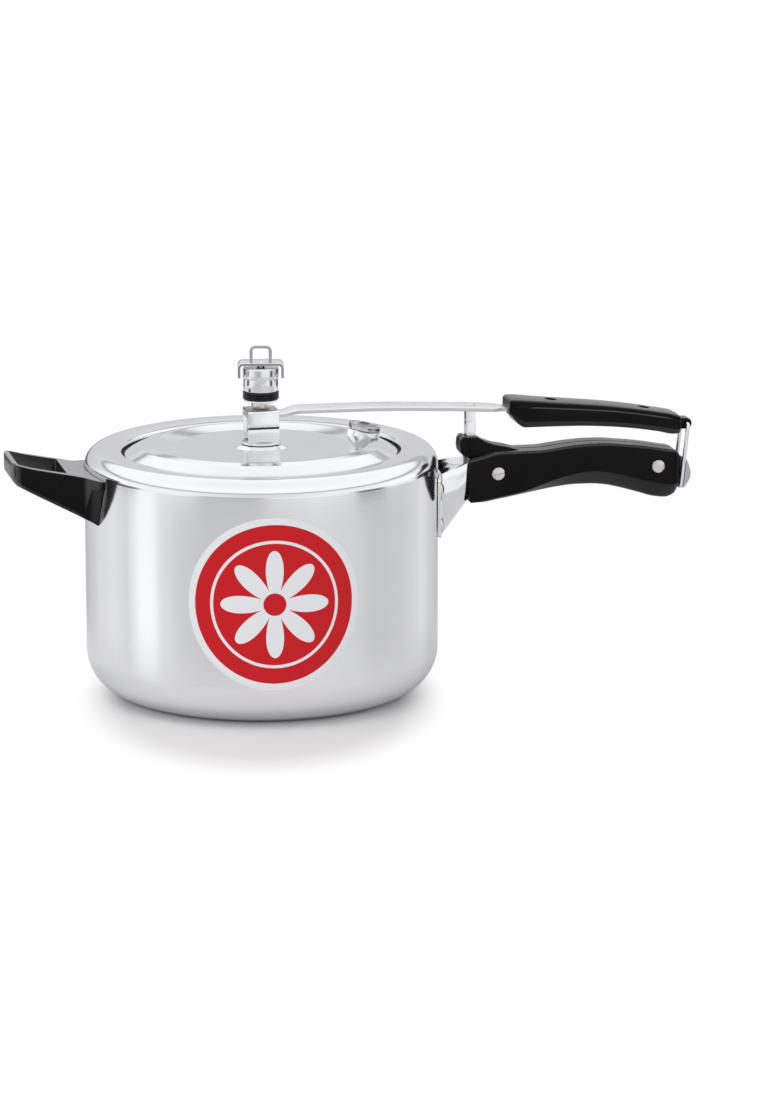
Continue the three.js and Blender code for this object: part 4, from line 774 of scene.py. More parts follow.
for out in sorted(helper_spots):
    half, under, low, side_low, top = flowing(helper_shares, out / HELPER_REACH)
    nip = 0.9 if out >= HELPER_REACH else (0.3 if out > 61.7 else 0)
    half = half * HELPER_HALF - nip
    under = under * HELPER_HALF - nip
    low = HELPER_LOW_Z + HELPER_H * low + nip
    edge = HELPER_LOW_Z + HELPER_H * side_low
    top = HELPER_LOW_Z + HELPER_H * top - nip
    past_inner = ramp(trough_in - 0.1, trough_in + 0.8, out)
    sunk = past_inner * ramp(trough_out + 0.1, trough_out - 1.2, out)
    share = min(max((out - trough_in) / (trough_out - trough_in), 0), 1)
    floor = top + (TROUGH_FLOOR_Z + TROUGH_FLOOR_RISE * share - top) * sunk
    mouth = min(TROUGH_HALF, half - TROUGH_WALL)
    foot = mouth - TROUGH_DRAFT * sunk
    flank = [(under, low), (half, edge), (half, top - 1.6), (half - 0.5, top - 0.5), (half - 1.6, top)]
    well = [(mouth + 0.7, top), (mouth + 0.2, top - 0.25 * sunk), (mouth, top - 0.8 * sunk),
            (foot - 0.4 + 0.5 * sunk, floor + 1.6 * sunk), (foot - 1.4, floor)]
    half_run = rounded(flank, [0, 1.1, 0, 0, 0], 4, False) + well
    ring = half_run + [(-u, z) for u, z in reversed(half_run)]
    helper_rings.append([(HELPER_ROOT - out, u, z) for u, z in ring])
helper_mesh = cut_away(loft(helper_rings), [pin(POT_R + WALL_GAP, (0, 0, 60), (0, 0, 200), 160)])
# Its fifth value paints the helper's top a light grey: a painted sheen.
helper_finish = moulded_black("helper_phenolic_skin", (0.0032, 0.0031, 0.0038), 0.2, 0.26, "Y")
fit_piece("helper_handle_moulding", helper_mesh, helper_finish, "pot", ["helper_handle"],
          38)

# Helper-handle fixing: a nickel-plated stud riveted through the wall, and a slotted screw
# driven into it from the trough.
STUD_SPOT = Vector((-116.0, 0, 139.8))
HELPER_SCREW_X = -129.5
stud_profile = [(0, -8.85), (6.5, -8.85), (6.5, -7.55), (5.9, -7.25), (3.6, -7.25), (3.6, -3.7), (5.0, -3.7),
                (5.0, 4.3), (2.4, 4.3), (2.4, -3.0), (0, -3.0)]
stud_mesh = turned(stud_profile, 36)
stud_mesh.transform(Matrix.Translation(STUD_SPOT * MM) @ Matrix.Rotation(math.radians(-90), 4, "Y"))
fit_piece("helper_stud", stud_mesh, nickel_finish, "pot", ["helper_handle_stud"])
helper_screw = made_on_places(screw_tree, screw_sockets,
                              [((HELPER_SCREW_X, 0, STUD_SPOT.z), (-1, 0, 0), 0.4)],
                              {"Head radius": 0.0038, "Head height": 0.0024, "Dome": 0.0005,
                               "Slot width": 0.0009, "Slot depth": 0.0016, "Shank radius": 0.0021,
                               "Shank length": 0.0155, "Finish": nickel_finish})
fit_piece("helper_screw", helper_screw, nickel_finish, "pot", ["helper_handle_screw"])

# Lid plate: pressed aluminium sheet, oval so that it goes in through the mouth, with a raised pad,
# a shallow dish, a rolled crest, and a flange below that draws up under the pot's lip.
PAD_Z = 158.5
DISH_Z = 157.0
CREST_Z = 159.5
LID_T = 2.5
lid_top = [(15.0, PAD_Z), (19.0, DISH_Z), (53.0, DISH_Z), (62.0, 158.5), (67.0, CREST_Z), (74.0, 158.1),
           (82.2, 154.0)]
lid_over = rounded([(5.1, PAD_Z), *lid_top, (84.3, 152.9), (84.3, 148.7)],
                   [0, 2.5, 2.5, 9, 10, 8, 9, 3.0, 1.0, 0], 7, False)
lid_below = [(r, z - LID_T) for r, z in [(5.1, PAD_Z), *lid_top[:-1]]]
lid_under = rounded(lid_below + [(80.7, 151.5), (80.7, 146.2)], [0, 2, 2, 8, 8, 7, 7, 1.5, 0], 5, False)
lid_flange = [(84.5, 148.7), (90.5, 148.7), (91.0, 148.3), (91.0, 146.6), (90.6, 146.2), (80.7, 146.2)]
lid_profile = lid_over + lid_flange + lid_under[::-1][1:] + [lid_over[0]]
lid_mesh = turned(lid_profile, 160, lambda r, z: ramp(19.0, 80.7, r))
VALVE_TURN = math.radians(14)
VALVE_TILT = math.radians(12)
VALVE_UP = Vector((math.sin(VALVE_TILT) * math.cos(VALVE_TURN), math.sin(VALVE_TILT) * math.sin(VALVE_TURN),
                   math.cos(VALVE_TILT)))
VALVE_R = 72.3
VALVE_Z = 159.34
VALVE_SPOT = Vector((VALVE_R * math.cos(VALVE_TURN), VALVE_R * math.sin(VALVE_TURN), VALVE_Z))
land_profile = [(0, -4.4), (10.8, -4.4), (11.2, -4.0), (11.2, 0.4), (10.8, 0.85), (10.4, 0.9), (0, 0.9)]
land_mesh = turned(land_profile, 48)
valve_aim = VALVE_UP.to_track_quat("Z", "Y").to_matrix().to_4x4()
land_mesh.transform(Matrix.Translation(VALVE_SPOT * MM) @ valve_aim)
lid_finish = spun_metal("lid_polish", (0.88, 0.89, 0.905), (0.85, 0.86, 0.878), 0.10, 0.3)
fit_piece("lid_pressing", joined(lid_mesh, land_mesh), lid_finish, "lid", ["lid_plate"])

# Sealing ring: a flat ring of moulded black rubber that lies on the lid's flange.
# The lid's pull squeezes it against the underside of the pot's lip.


def black_rubber(name, shade, roughness):
    """Matt moulded rubber with a bloom of talc and a fine pitted skin."""
    finish, tree, surface = new_finish(name)
    place = wire(tree, "ShaderNodeTexCoord").outputs["Object"]
    pits = mottle(tree, place, 900.0, 3.0)
    bloom_and_painted_top_light = mottle(tree, place, 90.0, 4.0)
    dark = tuple(c * 0.7 for c in shade)
    light = tuple(c * 1.6 for c in shade)
    fill(tree, surface, {"Base Color": colour_steps(tree, bloom_and_painted_top_light, [(0.3, dark), (0.75, light)]),
                         "Roughness": spread(tree, bloom_and_painted_top_light, 0.0, 1.0, roughness * 0.85, roughness * 1.15),
                         "Normal": relief(tree, 0.2, 0.0002, pits), "Specular IOR Level": 0.3})
    return finish


rubber_finish = black_rubber("black_rubber_skin", linear("1c1c1e"), 0.6)
ring_profile = rounded([(83.5, 149.0), (91.5, 149.0), (92.1, 150.5), (91.5, 152.0), (83.5, 152.0)], 0.5, 4)
ring_mesh = turned(ring_profile + [ring_profile[0]], 144, lambda r, z: 1)
fit_piece("sealing_ring_rubber", ring_mesh, rubber_finish, "lid", ["sealing_ring"])

# Vent tube and its nuts: a steel tube up the lid's centre with a narrow nozzle for the weight,
# clamped by a hexagon nut above the stirrup and one under the lid.
tube_profile = rounded([(1.6, 149.5), (4.8, 149.5), (4.8, 181.0), (3.4, 181.0), (3.4, 189.9), (2.7, 191.7),
                        (1.6, 191.7)], [0, 0.4, 0, 0, 0.6, 0.3, 0], 4)
tube_mesh = turned(tube_profile + [tube_profile[0]], 48)
fit_piece("vent_tube_turning", tube_mesh, steel_finish, "lid", ["vent_tube"])
top_nut = made_on_places(nut_tree, nut_sockets, [((0, 0, 183.25), (0, 0, 1), math.pi / 6)],
                         {"Corner radius": 0.0064, "Height": 0.0039, "Bore": 0.0035, "Finish": nickel_finish})
fit_piece("vent_top_nut", top_nut, nickel_finish, "lid", ["vent_tube_top_nut"])
low_nut = made_on_places(nut_tree, nut_sockets, [((0, 0, 153.7), (0, 0, 1), math.pi / 6)],
                         {"Corner radius": 0.009, "Height": 0.004, "Bore": 0.0049, "Finish": nickel_finish})
fit_piece("vent_lower_nut", low_nut, nickel_finish, "lid", ["vent_tube_lower_nut"])

# Stirrup: a polished steel strip bent into a box with a round foot, held down by the vent tube.
# The end of the lid bar passes through it.
STIRRUP_FOOT = 158.8
STIRRUP_TOP = 181.0
STIRRUP_HALF = 10.0
STIRRUP_T = 2.0
SEAM_Z = 169.8
SEAM_HALF = 1.1
SEAM_DEPTH_Y = -8.3
inner_half = STIRRUP_HALF - STIRRUP_T
inner_low = STIRRUP_FOOT + STIRRUP_T
inner_top = STIRRUP_TOP - 2.5
box_out = rounded([(-STIRRUP_HALF, STIRRUP_FOOT), (STIRRUP_HALF, STIRRUP_FOOT), (STIRRUP_HALF, STIRRUP_TOP),
                   (-STIRRUP_HALF, STIRRUP_TOP)], [0.6, 0.6, 2.2, 2.2], 6)
box_in = rounded([(-inner_half, inner_low), (inner_half, inner_low), (inner_half, inner_top),
                  (-inner_half, inner_top)], [0.6, 0.6, 0.8, 0.8], 6)
stirrup_rings = [[(x, y, z) for y, z in outline] for x, outline in
                 ((-STIRRUP_HALF, box_out), (STIRRUP_HALF, box_out), (STIRRUP_HALF, box_in),
                  (-STIRRUP_HALF, box_in), (-STIRRUP_HALF, box_out))]
stirrup_box = softened(loft(stirrup_rings, caps=False), 0.4, 2, 50)
past = STIRRUP_HALF + 1
seam = loft([[(x, -past, SEAM_Z + SEAM_HALF), (x, -past, SEAM_Z - SEAM_HALF), (x, SEAM_DEPTH_Y, SEAM_Z)]
             for x in (-past, past)])
stirrup_box = cut_away(stirrup_box, [seam])
foot_profile = rounded([(4.9, STIRRUP_FOOT), (12.5, STIRRUP_FOOT), (12.5, STIRRUP_FOOT + 1.2),
                        (10.8, STIRRUP_FOOT + 2), (4.9, STIRRUP_FOOT + 2)], [0, 0.3, 0.5, 0.8, 0], 4)
stirrup_mesh = joined(stirrup_box, turned(foot_profile + [foot_profile[0]], 64))
# Its faces that point up or down, such as the box's top, the seam's faces and the foot, are painted dark
# grey: a painted reflection of the weight above and painted shade in the seam.
stirrup_finish = polished_steel("stirrup_steel", (0.90, 0.905, 0.91), (0.83, 0.835, 0.84), 0.07, 0.15, "Z",
                                (0.30, 0.305, 0.31))
fit_piece("stirrup_strip", stirrup_mesh, stirrup_finish, "lid", ["lid_stirrup"])

# Lid bar: flat spring-steel strip, polished, cranked up out of the stirrup and bowed down
# into the lid handle, where it narrows to a tang.
bar_line = [(-10, 178.2), (12, 178.2), (24, 180.5), (70, 180.19), (112.1, 178.6), (134.6, 177.4),
            (160.0, 175.6), (190.0, 172.19), (229.9, 167.2), (266.0, 162.4)]
bar_width = [(-10, 7.7), (14, 7.7), (26, 10.0), (148.0, 10.0), (157.0, 6.5), (266.0, 6.5)]


def strip_rings(line, width, thickness, spots):
    rings = []
    for x in spots:
        top = flowing(line, x)[0]
        half = flowing(width, x)[0]
        corners = [(-half, top - thickness), (half, top - thickness), (half, top), (-half, top)]
        rings.append([(x, y, z) for y, z in rounded(corners, 0.5, 3)])
    return rings


BAR_T = 2.5
bar_start, bar_end = bar_line[0][0], bar_line[-1][0]
bar_spots = [bar_start + (bar_end - bar_start) * i / 110 for i in range(111)]
# Its side edges, the faces across Y, are painted darker grey: partly duller cut edges, partly a painted
# reflection.
bar_finish = polished_steel("bar_steel", (0.95, 0.955, 0.96), (0.90, 0.905, 0.91), 0.3, 0.2, "Y",
                            (0.62, 0.625, 0.63))
fit_piece("lid_bar_strip", loft(strip_rings(bar_line, bar_width, BAR_T, bar_spots)), bar_finish, "lid",
          ["lid_bar"])

# Leg and its rivet: a polished steel block under the bar, round at the foot where it rocks
# in the horn's seat, held by a rivet through the bar.
LEG_TOP = 174.3
leg_outline = arc(LEG_X, LEG_Z, LEG_R, 180, 360, 16) + [(LEG_X + LEG_R, LEG_TOP), (LEG_X - LEG_R, LEG_TOP)]
leg_mesh = softened(standing_plate(leg_outline, -LEG_HALF, LEG_HALF), 0.45, 2)
fit_piece("fulcrum_leg", leg_mesh, steel_finish, "lid", ["bar_leg"])
leg_rivet = made_on_places(rivet_tree, rivet_sockets, [((LEG_X, 0, 177.4), (0, 0, 1), 0)],
                           {"Head radius": 0.0034, "Head height": 0.0013, "Grip": 0.0095,
                            "Finish": nickel_finish})
fit_piece("leg_rivet_head", leg_rivet, nickel_finish, "lid", ["leg_rivet"])

# Lid handle: one black phenolic moulding over the bar's tang, with two deep screw holes in its top,
# a mould line along each side and an eye at its end for the locking loop.
LID_GRIP_FRONT = 159.7
LID_GRIP_LENGTH = 114.3
LID_GRIP_HALF = 11.0
LID_GRIP_LOW = 154.4
LID_GRIP_H = 27.0
LOOP_X = 278.5
LOOP_Z = 160.0
EYE_R = 3.6
EYE_HALF = 4.5
EYE_ROOT_X = 270.0
EYE_BORE_R = 1.6
lid_grip_shares = [(0, .873, .782, .652, .726, .956), (.014, .945, .818, .6, .689, 1),
                   (.058, 1, .8, .378, .526, .993), (.091, 1, .8, .311, .467, .978),
                   (.248, 1, .8, .307, .452, .904), (.405, 1, .8, .293, .422, .837),
                   (.563, 1, .8, .252, .378, .763), (.72, 1, .8, .178, .304, .667),
                   (.86, 1, .8, .081, .207, .563), (.956, 1, .8, 0, .133, .481),
                   (.988, .909, .727, .007, .119, .43), (1, .764, .636, .059, .133, .37)]
lid_rings = []
lid_spots = [0, .004, .009, .014, .022, .03, .04, .05] + [.06 + .9 * i / 70 for i in range(71)]
for s in lid_spots + [.968, .976, .982, .988, .992, .996, 1]:
    half, under, low, side_low, top = flowing(lid_grip_shares, s)
    half *= LID_GRIP_HALF
    under *= LID_GRIP_HALF
    low = LID_GRIP_LOW + LID_GRIP_H * low
    edge = LID_GRIP_LOW + LID_GRIP_H * side_low
    top = LID_GRIP_LOW + LID_GRIP_H * top
    step = 0.7 * ramp(0.1, 0.16, s) * (1 - ramp(0.9, 0.96, s))
    line = top - max(2.6, (top - edge) * 0.36)
    flank = [(under, low), (half, edge), (half, line), (half - step, line + step), (half - step, top)]
    run = rounded(flank + [(0, top + 0.35)], [min(2.5, (edge - low) * 0.4), 1.4, 0, 0,
                                              min(1.9, (top - line) * 0.6), 0], 4, False)
    run = [(0, low)] + run
    ring = run + [(-u, z) for u, z in reversed(run[1:-1])]
    lid_rings.append([(LID_GRIP_FRONT + LID_GRIP_LENGTH * s, u, z) for u, z in ring])
(tang_x, tang_z), (end_x, end_z) = bar_line[-2:]
lean = math.atan2(tang_z - end_z, end_x - tang_x)
GRIP_UP = Vector((math.sin(lean), 0, math.cos(lean)))


def on_bar(x, rise):
    return Vector((x, 0, flowing(bar_line, x)[0])) + GRIP_UP * rise


LID_SCREW_XS = (188.0, 250.0)
lid_grip = cut_away(loft(lid_rings), [pin(3.9, on_bar(x, 1.3), on_bar(x, 30)) for x in LID_SCREW_XS])
eye_low, eye_top = LOOP_Z - EYE_R, LOOP_Z + EYE_R
eye_outline = [(EYE_ROOT_X, eye_low), (LOOP_X, eye_low), *arc(LOOP_X, LOOP_Z, EYE_R, -80, 80, 14),
               (LOOP_X, eye_top), (EYE_ROOT_X, eye_top)]
eye_mesh = cut_away(softened(standing_plate(eye_outline, -EYE_HALF, EYE_HALF), 0.7, 2),
                    [pin(EYE_BORE_R, (LOOP_X, -9, LOOP_Z), (LOOP_X, 9, LOOP_Z))])
fit_piece("lid_handle_moulding", joined(lid_grip, eye_mesh), black_finish, "lid", ["lid_handle"],
          36)
lid_screws = made_on_places(screw_tree, screw_sockets,
                            [(tuple(on_bar(x, 2.85)), tuple(GRIP_UP), 0.3) for x in LID_SCREW_XS],
                            {"Head radius": 0.0036, "Head height": 0.0025, "Dome": 0.0004,
                             "Slot width": 0.0009, "Slot depth": 0.0014, "Shank radius": 0.0019,
                             "Shank length": 0.0083, "Finish": nickel_finish})
fit_piece("lid_handle_screws", lid_screws, nickel_finish, "lid",
          ["lid_handle_screw_front", "lid_handle_screw_rear"])

# Locking loop and thumb tab: a steel wire frame that swings in the lid handle's eye and snaps
# under the body handle's end, with a grey tab on its outside to push it off.
LOOP_LEAN = math.radians(6)
LOOP_HALF = 8.2
LOOP_DROP = 41.2
LOOP_WIRE_R = 1.3
TAB_FROM = 23.2
TAB_LENGTH = 18.6
TAB_HALF = 9.2
TAB_SEAT = 1.6


def on_loop(down, out, across):
    return (LOOP_X - math.sin(LOOP_LEAN) * down + math.cos(LOOP_LEAN) * out, across,
            LOOP_Z - math.cos(LOOP_LEAN) * down - math.sin(LOOP_LEAN) * out)


def wire_rod(path, radius, closed, segments):
    """A round wire bent along points in millimetres."""
    points = [Vector(p) for p in path]
    count = len(points)
    rings = []
    side = None
    for i, point in enumerate(points):
        ahead = points[(i + 1) % count] if closed or i + 1 < count else point
        back = points[i - 1] if closed or i else point
        along = (ahead - back).normalized()
        if side is None:
            side = along.orthogonal().normalized()
        side = (side - along * side.dot(along)).normalized()
        other = along.cross(side)
        rings.append([tuple(point + (side * math.cos(2 * math.pi * k / segments)
                                     + other * math.sin(2 * math.pi * k / segments)) * radius)
                      for k in range(segments)])
    if closed:
        rings.append(rings[0])
    return loft(rings, caps=not closed)


loop_path = rounded([(0, -LOOP_HALF), (LOOP_DROP, -LOOP_HALF), (LOOP_DROP, LOOP_HALF), (0, LOOP_HALF)],
                    [1.5, 3.2, 3.2, 1.5], 8)
loop_mesh = wire_rod([on_loop(d, 0, y) for d, y in loop_path], LOOP_WIRE_R, True, 18)
fit_piece("locking_loop_wire", loop_mesh, steel_finish, "loop", ["locking_loop"])

tab_finish, tree, surface = new_finish("grey_tab_skin")
tab_place = wire(tree, "ShaderNodeTexCoord").outputs["Object"]
tab_cloud = mottle(tree, tab_place, 120.0, 4.0)
tab_tone = colour_steps(tree, tab_cloud, [(0.3, linear("a9a8b1")), (0.7, linear("bdbcc4"))])
fill(tree, surface, {"Base Color": tab_tone, "Roughness": spread(tree, tab_cloud, 0.0, 1.0, 0.35, 0.5),
                     "Normal": relief(tree, 0.1, 0.0002, tab_cloud)})
tab_rings = []
for i in range(25):
    share = i / 24
    down = TAB_FROM + TAB_LENGTH * share
    bulge = TAB_SEAT + 4.2 * math.sin(math.pi * (0.06 + 0.88 * share))
    half = TAB_HALF * (0.80 + 0.20 * math.sin(math.pi * min(max(share, 0.02), 0.98)) ** 0.5)
    shoulder = max(bulge - 0.6, TAB_SEAT + 0.3)
    outline = [(-half, TAB_SEAT), (half, TAB_SEAT), (half, shoulder), (half * 0.7, bulge),
               (-half * 0.7, bulge), (-half, shoulder)]
    tab_rings.append([on_loop(down, out, y) for y, out in outline])
tab_mesh = softened(loft(tab_rings), 0.4, 2, 50)
fit_piece("thumb_tab", tab_mesh, tab_finish, "loop", ["loop_thumb_tab"])

# Safety valve: a steel hexagon body screwed through the lid on a flat land, with a soft-metal
# plug in its middle that blows at overpressure and a nut under the lid.
valve_stand = valve_aim @ Matrix.Rotation(math.radians(-15), 4, "Z")
valve_frame = Matrix.Translation(VALVE_SPOT * MM) @ valve_stand


def hexagon_rings(levels):
    rings = []
    for radius, z in levels:
        corners = [(radius * math.cos(math.radians(60 * k)),
                    radius * math.sin(math.radians(60 * k))) for k in range(6)]
        rings.append([(x, y, z) for x, y in rounded(corners, 0.5, 3)])
    return rings


valve_hex = loft(hexagon_rings([(3.4, 1.2), (10.6, 1.2), (10.6, 4.4), (10.3, 5.0), (9.4, 5.8), (8.2, 5.8)]),
                 caps=False)
valve_well = turned(rounded([(8.9, 5.8), (4.6, 5.8), (4.6, 2.9), (0, 2.9)], [0, 0.6, 0.2, 0], 5, False), 40)
valve_skirt = turned(rounded([(0, 2.0), (4.0, 2.0), (4.0, -9.1), (0, -9.1)], [0, 0, 0.4, 0], 3, False), 32)
valve_mesh = joined(valve_hex, valve_well, valve_skirt)
valve_mesh.transform(valve_frame)
valve_finish = polished_steel("valve_steel", (0.66, 0.665, 0.67), (0.55, 0.555, 0.56), 0.12, 0.2)
fit_piece("safety_valve_hexagon", valve_mesh, valve_finish, "lid", ["safety_valve_body"],
          30)

# The plug is coloured near black: painted shade in the valve's bore.
plug_finish = polished_steel("plug_painted_dark_shade", (0.09, 0.085, 0.08), (0.05, 0.047, 0.045), 0.45, 0.5)
plug_mesh = made_on_places(screw_tree, screw_sockets,
                           [(tuple(VALVE_SPOT + VALVE_UP * 4.6), tuple(VALVE_UP), 0.6)],
                           {"Head radius": 0.0036, "Head height": 0.003, "Dome": 0.0004, "Slot width": 0.001,
                            "Slot depth": 0.0018, "Shank radius": 0.0014, "Shank length": 0.0045,
                            "Finish": plug_finish})
fit_piece("safety_plug", plug_mesh, plug_finish, "lid", ["safety_valve_plug"])
valve_nut = made_on_places(nut_tree, nut_sockets,
                           [(tuple(VALVE_SPOT - VALVE_UP * 6.45), tuple(VALVE_UP), math.pi / 6)],
                           {"Corner radius": 0.0068, "Height": 0.0035, "Bore": 0.0041,
                            "Finish": nickel_finish})
fit_piece("safety_nut", valve_nut, nickel_finish, "lid", ["safety_valve_nut"])

# Needle: a turned nickel-plated pin that hangs by its head inside the weight.
# Its point seats in the top of the vent tube and lifts off with the weight.
needle_profile = [(0, 188.5), (1.1, 190.5), (1.1, 192.0), (3.8, 192.0), (3.8, 193.5), (1.8, 193.5),
                  (1.8, 208.1), (2.6, 208.1), (3.0, 208.4), (2.7, 209.1), (0, 209.1)]
fit_piece("needle_pin", turned(needle_profile, 32), nickel_finish, "needle", ["weight_needle"])

# Pressure weight: a heavy turned steel body, chromed, with a groove for its band
# and a narrow step where the cap's skirt sits.
chrome_finish = spun_metal("weight_chrome", (0.86, 0.865, 0.87), (0.78, 0.785, 0.79), 0.07, 0.15)
weight_profile = rounded([(4.4, 185.8), (10.6, 185.8), (10.9, 187.1), (9.6, 187.1), (9.6, 192.6),
                          (11.0, 192.6), (11.0, 200.4), (10.6, 200.8), (11.3, 201.2), (11.3, 207.8),
                          (2.1, 207.8), (2.1, 194.1), (4.4, 194.1)],
                         [0.3, 0.5, 0.2, 0.2, 0.2, 0.3, 0.3, 0, 0.3, 1.2, 0, 0, 0], 5)
weight_mesh = turned(weight_profile + [weight_profile[0]], 72)
notch = standing_plate(arc(0, 201.6, 4.0, 200, 340, 14), -14, -7.2)
CAP_TURN = Matrix.Rotation(math.radians(-11), 4, "Z")
notch.transform(CAP_TURN)
fit_piece("weight_turning", cut_away(weight_mesh, [notch]), chrome_finish, "weight", ["weight_body"],
          32)

# Weight band: a glossy black rubber sleeve with three ribs.
# It is stretched over the weight and snaps into its groove.
band_tree, given, band_sockets = node_tree(
    "ribbed_band_maker", [("Outer radius", "Float"), ("Height", "Float"), ("Ribs", "Int"),
                          ("Rib radius", "Float"), ("Wall", "Float"), ("Finish", "Material")])
sleeve = wire(band_tree, "GeometryNodeMeshCylinder", {"Vertices": 72, "Radius": given["Outer radius"],
                                                      "Depth": given["Height"]}, fill_type="NONE")
sleeve_wall = wire(band_tree, "GeometryNodeExtrudeMesh", {"Mesh": sleeve.outputs["Mesh"],
                                                          "Offset Scale": given["Wall"], "Individual": False},
                   mode="FACES")
rib_path = wire(band_tree, "GeometryNodeCurvePrimitiveCircle",
                {"Resolution": 72, "Radius": given["Outer radius"]})
rib_round = wire(band_tree, "GeometryNodeCurvePrimitiveCircle",
                 {"Resolution": 10, "Radius": given["Rib radius"]})
rib = wire(band_tree, "GeometryNodeCurveToMesh", {"Curve": rib_path.outputs["Curve"],
                                                  "Profile Curve": rib_round.outputs["Curve"]})
rib_pitch = worked(band_tree, "DIVIDE", given["Height"], given["Ribs"])
rib_step = wire(band_tree, "ShaderNodeCombineXYZ", {"Z": rib_pitch}).outputs[0]
rib_half = worked(band_tree, "SUBTRACT", rib_pitch, given["Height"])
rib_low = worked(band_tree, "MULTIPLY", rib_half, 0.5)
rib_start = wire(band_tree, "ShaderNodeCombineXYZ", {"Z": rib_low}).outputs[0]
rib_line = wire(band_tree, "GeometryNodeMeshLine", {"Count": given["Ribs"], "Start Location": rib_start,
                                                    "Offset": rib_step})
rib_copies = wire(band_tree, "GeometryNodeInstanceOnPoints", {"Points": rib_line.outputs["Mesh"],
                                                              "Instance": rib.outputs["Mesh"]})
band_blank = wire(band_tree, "GeometryNodeJoinGeometry")
for part in (sleeve.outputs["Mesh"], sleeve_wall.outputs["Mesh"], rib_copies.outputs["Instances"]):
    band_tree.links.new(part, band_blank.inputs["Geometry"])
set_on_places(band_tree, given, band_blank.outputs["Geometry"])
band_finish = moulded_black("band_rubber", (0.004, 0.004, 0.0045), 0.14, 0.0, "Z")
band_mesh = made_on_places(band_tree, band_sockets, [((0, 0, 189.85), (0, 0, 1), 0)],
                           {"Outer radius": 0.0111, "Height": 0.0049, "Ribs": 3, "Rib radius": 0.0005,
                            "Wall": -0.0011, "Finish": band_finish})
fit_piece("weight_band_rubber", band_mesh, band_finish, "weight", ["weight_band"], 50)

# Cap strap and lifting eye: a polished strip bent down over the weight's top, with a wire eye
# to lift the weight by.
CAP_HALF = 14.6
CAP_T = 1.8
CAP_LOW = 201.4
CAP_TOP = 211.2
CAP_WIDTH = 16.0
EYE_WIRE_HALF = 6.05
EYE_WIRE_LOW = 211.3
EYE_WIRE_TOP = 220.2
EYE_WIRE_R = 0.95
cap_in = CAP_HALF - CAP_T
cap_under = CAP_TOP - CAP_T
cap_out = [(-CAP_HALF, CAP_LOW), (-CAP_HALF, CAP_TOP), (CAP_HALF, CAP_TOP), (CAP_HALF, CAP_LOW),
           (cap_in, CAP_LOW), (cap_in, cap_under), (-cap_in, cap_under), (-cap_in, CAP_LOW)]
cap_outline = rounded(cap_out, [0.6, 3.4, 3.4, 0.6, 0.4, 1.8, 1.8, 0.4], 8)
cap_mesh = softened(standing_plate(cap_outline, -CAP_WIDTH / 2, CAP_WIDTH / 2), 0.5, 3, 50)
cap_mesh.transform(CAP_TURN)
# Its faces across Y, the strap's bent edges, are painted dark grey: partly duller cut edges, partly a painted
# reflection.
cap_finish = polished_steel("cap_steel", (0.95, 0.955, 0.96), (0.88, 0.885, 0.89), 0.2, 0.12, "Y",
                            (0.34, 0.345, 0.35))
fit_piece("cap_strip", cap_mesh, cap_finish, "weight", ["weight_cap_strap"])
eye_path = rounded([(-EYE_WIRE_HALF, EYE_WIRE_LOW), (-EYE_WIRE_HALF, EYE_WIRE_TOP),
                    (EYE_WIRE_HALF, EYE_WIRE_TOP), (EYE_WIRE_HALF, EYE_WIRE_LOW)], [0, 2.6, 2.6, 0], 8, False)
eye_wire = wire_rod([(x, 0, z) for x, z in eye_path], EYE_WIRE_R, False, 16)
eye_wire.transform(CAP_TURN)
eye_finish = polished_steel("eye_wire_steel", (0.48, 0.485, 0.49), (0.38, 0.385, 0.39), 0.2, 0.3)
fit_piece("lifting_eye_wire", eye_wire, eye_finish, "weight", ["weight_lifting_eye"])

# Studio: a pale floor that runs to white, an even pale surround, a broad lamp overhead
# and the camera at the photograph's angle.
CAMERA_SPOT = Vector((-0.5578, -2.870, 0.7523))
CAMERA_AIM = Vector((0.0801, -0.0156, 0.0859))
camera_data = bpy.data.cameras.new("camera")
camera_data.lens = 152.98
camera_data.sensor_width = 36
camera_data.clip_end = 50
camera = bpy.data.objects.new("camera", camera_data)
camera_turn = (CAMERA_AIM - CAMERA_SPOT).to_track_quat("-Z", "Y").to_matrix().to_4x4()
camera.matrix_world = Matrix.Translation(CAMERA_SPOT) @ camera_turn
bpy.context.scene.collection.objects.link(camera)
bpy.context.scene.camera = camera

# Grey level by the angle from the camera: the near floor is what the pot's wall mirrors, and
# the far floor with its narrow dark screens is what the small bright pieces mirror.
near_steps = [(-180, .50), (-164, .54), (-146, .66), (-130, .80), (-112, .86), (-103, .80), (-98, .76),
              (-93, .90), (-86, 1.08), (-76, 1.08), (-68, .82), (-52, .68), (-34, .64), (0, .68), (40, .75),
              (62, .72), (80, .64), (100, .66), (116, .72), (128, .82), (146, .66), (164, .56)]
far_steps = [(-180, .40), (-164, .16), (-140, .16), (-128, .85), (-110, .98), (-100, .16), (-88, .16),
             (-78, .98), (-52, .98), (-30, .55), (-6, .52), (10, .90), (34, .98), (56, .96), (66, .16),
             (78, .16), (88, .96), (112, .96), (124, .16), (150, .16), (164, .60)]
low_steps = [(-180, .67), (-152, .67), (-112, 1.12), (-60, 1.0), (0, .80), (60, 1.0), (112, 1.12), (152, .67)]
CAMERA_TURN = math.degrees(math.atan2(CAMERA_SPOT.y, CAMERA_SPOT.x))


def surround_bands(tree, x, y, steps):
    """Grey level by direction round the object, from the direction's x and y."""
    back = math.radians(CAMERA_TURN)
    ahead = worked(tree, "MULTIPLY", x, math.cos(back))
    ahead_more = worked(tree, "MULTIPLY_ADD", y, math.sin(back), ahead)
    aside = worked(tree, "MULTIPLY", x, -math.sin(back))
    aside_more = worked(tree, "MULTIPLY_ADD", y, math.cos(back), aside)
    turn = worked(tree, "ARCTAN2", aside_more, ahead_more)
    share = spread(tree, turn, -math.pi, math.pi)
    return colour_steps(tree, share, [((a + 180) / 360, (v, v, v * 1.01)) for a, v in steps], "EASE")


